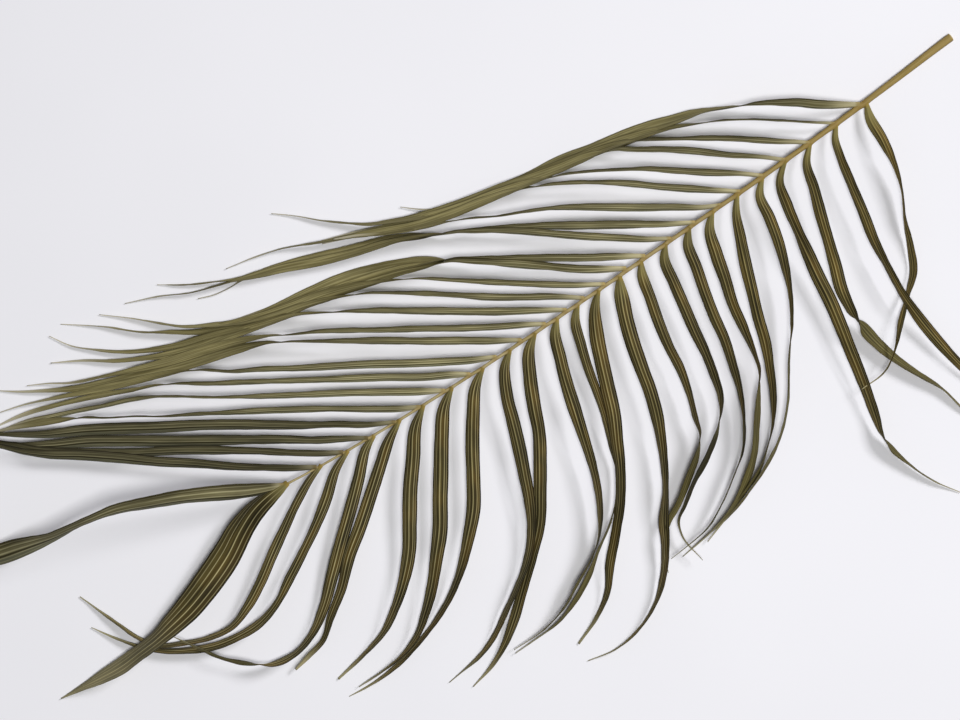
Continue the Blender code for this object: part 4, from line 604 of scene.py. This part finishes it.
def blade_finish():
    """Dried palm leaflet: olive-brown between straw-coloured veins, khaki at its root, pale at its end."""
    g = Graph("dried_palm_leaflet")
    along, across, share, place = g.read("along"), g.read("across"), g.read("share"), g.read("place")
    under, tone, row, root = g.read("under"), g.read("tone"), g.read("row"), g.read("root")
    aside, broad = g.read("aside"), g.read("broad")
    side = g.sum("ABSOLUTE", across)
    fibre = g.noise(g.vector(g.times(along, 0.012), g.times(across, 3.2), g.times(tone, 37.0)), 2.2, 4.0)
    patch = g.noise(g.vector(g.times(along, 0.03), across, g.times(tone, 53.0)), 1.0, 2.0)

    def line(centre, reach):
        """One on a line along the blade and nought from the reach on, in shares of the half width."""
        gap = g.sum("ABSOLUTE", g.sum("SUBTRACT", side, centre))
        return g.ramp(gap, 0.0, reach, 1.0, 0.0)

    def streaked(dark, light):
        """Fine fibres of two colours."""
        return g.mix(g.ramp(fibre, 0.3, 0.7), lin(dark), lin(light))

    broken = g.ramp(fibre, 0.30, 0.62, 0.35, 0.9)
    beside = g.sum("MAXIMUM", line(aside, 0.09), g.times(line(0.76, 0.07), 0.6))
    narrow = g.sum("MAXIMUM", line(0.0, 0.12), g.times(beside, broken))
    beside = g.sum("MAXIMUM", line(BROAD_2, 0.05), g.times(line(0.84, 0.04), 0.7))
    wide = g.sum("MAXIMUM", line(BROAD_1, 0.05), g.times(beside, 0.7))
    veins = g.ramp(broad, 0.0, 1.0, narrow, wide)
    edge = g.ramp(side, 0.76, 0.98)

    # Left row, upper face: painted shade over one half of the fold, and both edges darker
    blade = streaked("#2e2813", "#534a29")
    # painted shade over one half of the blade
    blade = g.mix(g.ramp(across, 0.05, 0.5, 0.0, 0.6), blade, lin("#1b1608"))
    brown = g.times(g.ramp(patch, 0.42, 0.68), g.ramp(broad, 0.0, 1.0, 0.5, 0.2))
    blade = g.mix(brown, blade, lin("#5a461c"))
    blade = g.mix(g.times(edge, 0.8), blade, lin("#151206"))
    # Right row, upper face: greener, with a painted grey sheen on one half, and painted shade along the
    # other edge and in a furrow beside the rib
    green = streaked("#544f2e", "#7b7550")
    # painted grey sheen on one half
    green = g.mix(g.ramp(across, 0.1, 0.6, 0.0, 0.75), green, lin("#6a6b52"))
    # painted shade along one edge
    green = g.mix(g.ramp(across, -0.45, -0.85, 0.0, 0.85), green, lin("#332d14"))
    # painted shade in a furrow beside the rib
    furrow_shade = g.times(g.ramp(across, 0.10, 0.2), g.ramp(across, 0.42, 0.3))
    green = g.mix(furrow_shade, green, lin("#3d381d"))
    blade = g.mix(row, blade, green)
    vein = g.mix(row, g.mix(place, lin("#a3925a"), lin("#c0b68c")), lin("#b0aa7c"))
    top = g.mix(g.times(veins, g.ramp(row, 0.0, 1.0, 0.72, 0.85)), blade, vein)
    # Undersides, with fainter veins
    below = g.mix(row, streaked("#383219", "#504929"), streaked("#564f2b", "#797249"))
    below = g.mix(g.times(veins, 0.35), below, lin("#a09a6b"))
    below = g.mix(g.times(edge, 0.5), below, lin("#37311a"))
    colour = g.mix(g.ramp(under, 0.4, 0.6), top, below)
    # Khaki run and tan base at the root, then the pale end
    khaki = g.mix(row, g.mix(place, lin("#7d7449"), lin("#736c45")), lin("#a9a179"))
    colour = g.mix(g.ramp(root, 0.0, 0.9, 0.0, 0.85), colour, khaki)
    colour = g.mix(g.ramp(along, 1.5, 5.0, 0.7, 0.0), colour, lin("#877133"))
    pale = g.times(g.ramp(row, 0.0, 1.0, 0.5, 0.95), g.ramp(share, 0.86, 0.99))
    pale = g.sum("MAXIMUM", pale, g.times(broad, g.ramp(share, 0.5, 0.85, 0.0, 0.32)))
    colour = g.mix(pale, colour, lin("#a8a286"))
    # Tone of the blade and of patches along it, with the painted shade on one turned-over blade
    shade = g.times(tone, g.ramp(patch, 0.25, 0.75, 0.78, 1.2))
    blue = g.times(shade, g.ramp(row, 0.0, 1.0, 0.9, 1.1))
    colour = g.mix(1.0, colour, g.vector(shade, shade, blue), "MULTIPLY")
    g.surface(colour, g.ramp(fibre, 0.3, 0.7, 0.68, 0.82))
    g.put(g.shader.inputs["Specular IOR Level"], 0.25)      # the wax has worn off
    g.relief(fibre, 0.3)
    return g.material


def stalk_finish():
    """Dried palm stalk: golden tan, paler towards the tip, browner below and at the joints."""
    g = Graph("dried_palm_stalk")
    along, high, joint, end = g.read("along"), g.read("high"), g.read("joint"), g.read("end")
    place = g.add("ShaderNodeTexCoord", out=3)
    fibre = g.noise(g.add("ShaderNodeMapping", {"Vector": place, "Scale": (0.04, 1.0, 1.0)}), 2400.0, 3.0)
    patch = g.noise(place, 45.0, 2.0)
    crest = g.mix(g.ramp(along, 120.0, 430.0), lin("#9d874b"), lin("#b9ab7c"))
    colour = g.mix(g.ramp(high, 0.1, 0.85), lin("#755b26"), crest)
    colour = g.mix(g.ramp(patch, 0.45, 0.7, 0.0, 0.45), colour, lin("#8c7a3a"))
    colour = g.mix(g.times(joint, 0.6), colour, lin("#866b2b"))
    colour = g.mix(g.ramp(fibre, 0.3, 0.7, 0.0, 0.35), colour, lin("#66522a"))
    colour = g.mix(end, colour, lin("#b9a473"))
    g.surface(colour, g.ramp(fibre, 0.3, 0.7, 0.55, 0.7))
    g.relief(fibre, 0.4)
    return g.material


def table_finish():
    """Matt white table top with the faintest mottling."""
    g = Graph("white_table")
    soft = g.noise(g.add("ShaderNodeTexCoord", out=3), 3.0, 2.0)
    g.surface(g.mix(g.ramp(soft, 0.3, 0.7), lin("#ededf1"), lin("#f0f0f4")), 0.85)
    return g.material


blade_material, stalk_material = blade_finish(), stalk_finish()
pieces = [stalk()]
number = 0
for group, fold, side in ((LEFT, FOLD_LEFT, 1), (RIGHT + [SPLIT], FOLD_RIGHT, -1)):
    for name, heights, rows in group:
        number += 1
        pieces.append(leaflet(name, heights, rows, fold, side, number))
for piece in pieces:
    piece.data.materials.append(stalk_material if piece.name == "rachis" else blade_material)
    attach(piece, "root")
    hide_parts("frond")

# Table, light and camera. The view is straight down, turned so that the tip points to the lower left.
TABLE = [(-4, -4, 0), (5, -4, 0), (5, 4, 0), (-4, 4, 0)]        # corners, m
floor_mesh = bpy.data.meshes.new("table")
floor_mesh.from_pydata(TABLE, [], [(0, 1, 2, 3)])
floor = bpy.data.objects.new("table", floor_mesh)
bpy.context.scene.collection.objects.link(floor)
floor_mesh.materials.append(table_finish())

VIEW_CENTRE = Vector((0.4483, 0.0046, 0.0))     # the middle of the picture, on the table
VIEW_UP = Vector((-0.5571, -0.8304, 0.0))       # the picture's upward direction
VIEW_WIDTH = 0.768                              # width of the picture at LEAF_HEIGHT, m
LEAF_HEIGHT = 0.010
LENS = 110.0                                    # focal length, mm
SENSOR_WIDTH = 36.0
distance = VIEW_WIDTH * LENS / SENSOR_WIDTH
camera_data = bpy.data.cameras.new("camera")
camera_data.lens = LENS
camera = bpy.data.objects.new("camera", camera_data)
bpy.context.scene.collection.objects.link(camera)
right = VIEW_UP.cross(Vector((0, 0, 1)))
camera.matrix_world = Matrix((
    (right.x, VIEW_UP.x, 0, VIEW_CENTRE.x),
    (right.y, VIEW_UP.y, 0, VIEW_CENTRE.y),
    (0, 0, 1, LEAF_HEIGHT + distance),
    (0, 0, 0, 1)))
bpy.context.scene.camera = camera


def lamp(name, place, aim, size, power, colour):
    """Soft square light at a place, turned to its aim; metres and watts."""
    data = bpy.data.lights.new(name, "AREA")
    data.size, data.energy, data.color = size, power, colour
    item = bpy.data.objects.new(name, data)
    item.location = place
    item.rotation_euler = (Vector(aim) - Vector(place)).to_track_quat("-Z", "Y").to_euler()
    bpy.context.scene.collection.objects.link(item)


MIDDLE = (0.45, 0, 0)       # about the middle of the leaf
ROOM_COLOUR = (0.97, 0.97, 1.0, 1)
ROOM_STRENGTH = 0.12
lamp("window", (-3.9, 0.22, 3.75), MIDDLE, 1.65, 203.0, (0.985, 0.975, 1.0))
lamp("soft_box", (0.42, 0.45, 2.9), MIDDLE, 0.6, 43.0, (1.0, 0.995, 0.985))
world = bpy.data.worlds.new("room")
world.use_nodes = True
background = world.node_tree.nodes["Background"]
background.inputs["Color"].default_value = ROOM_COLOUR
background.inputs["Strength"].default_value = ROOM_STRENGTH
bpy.context.scene.world = world
bpy.context.scene.view_settings.view_transform = "Standard"
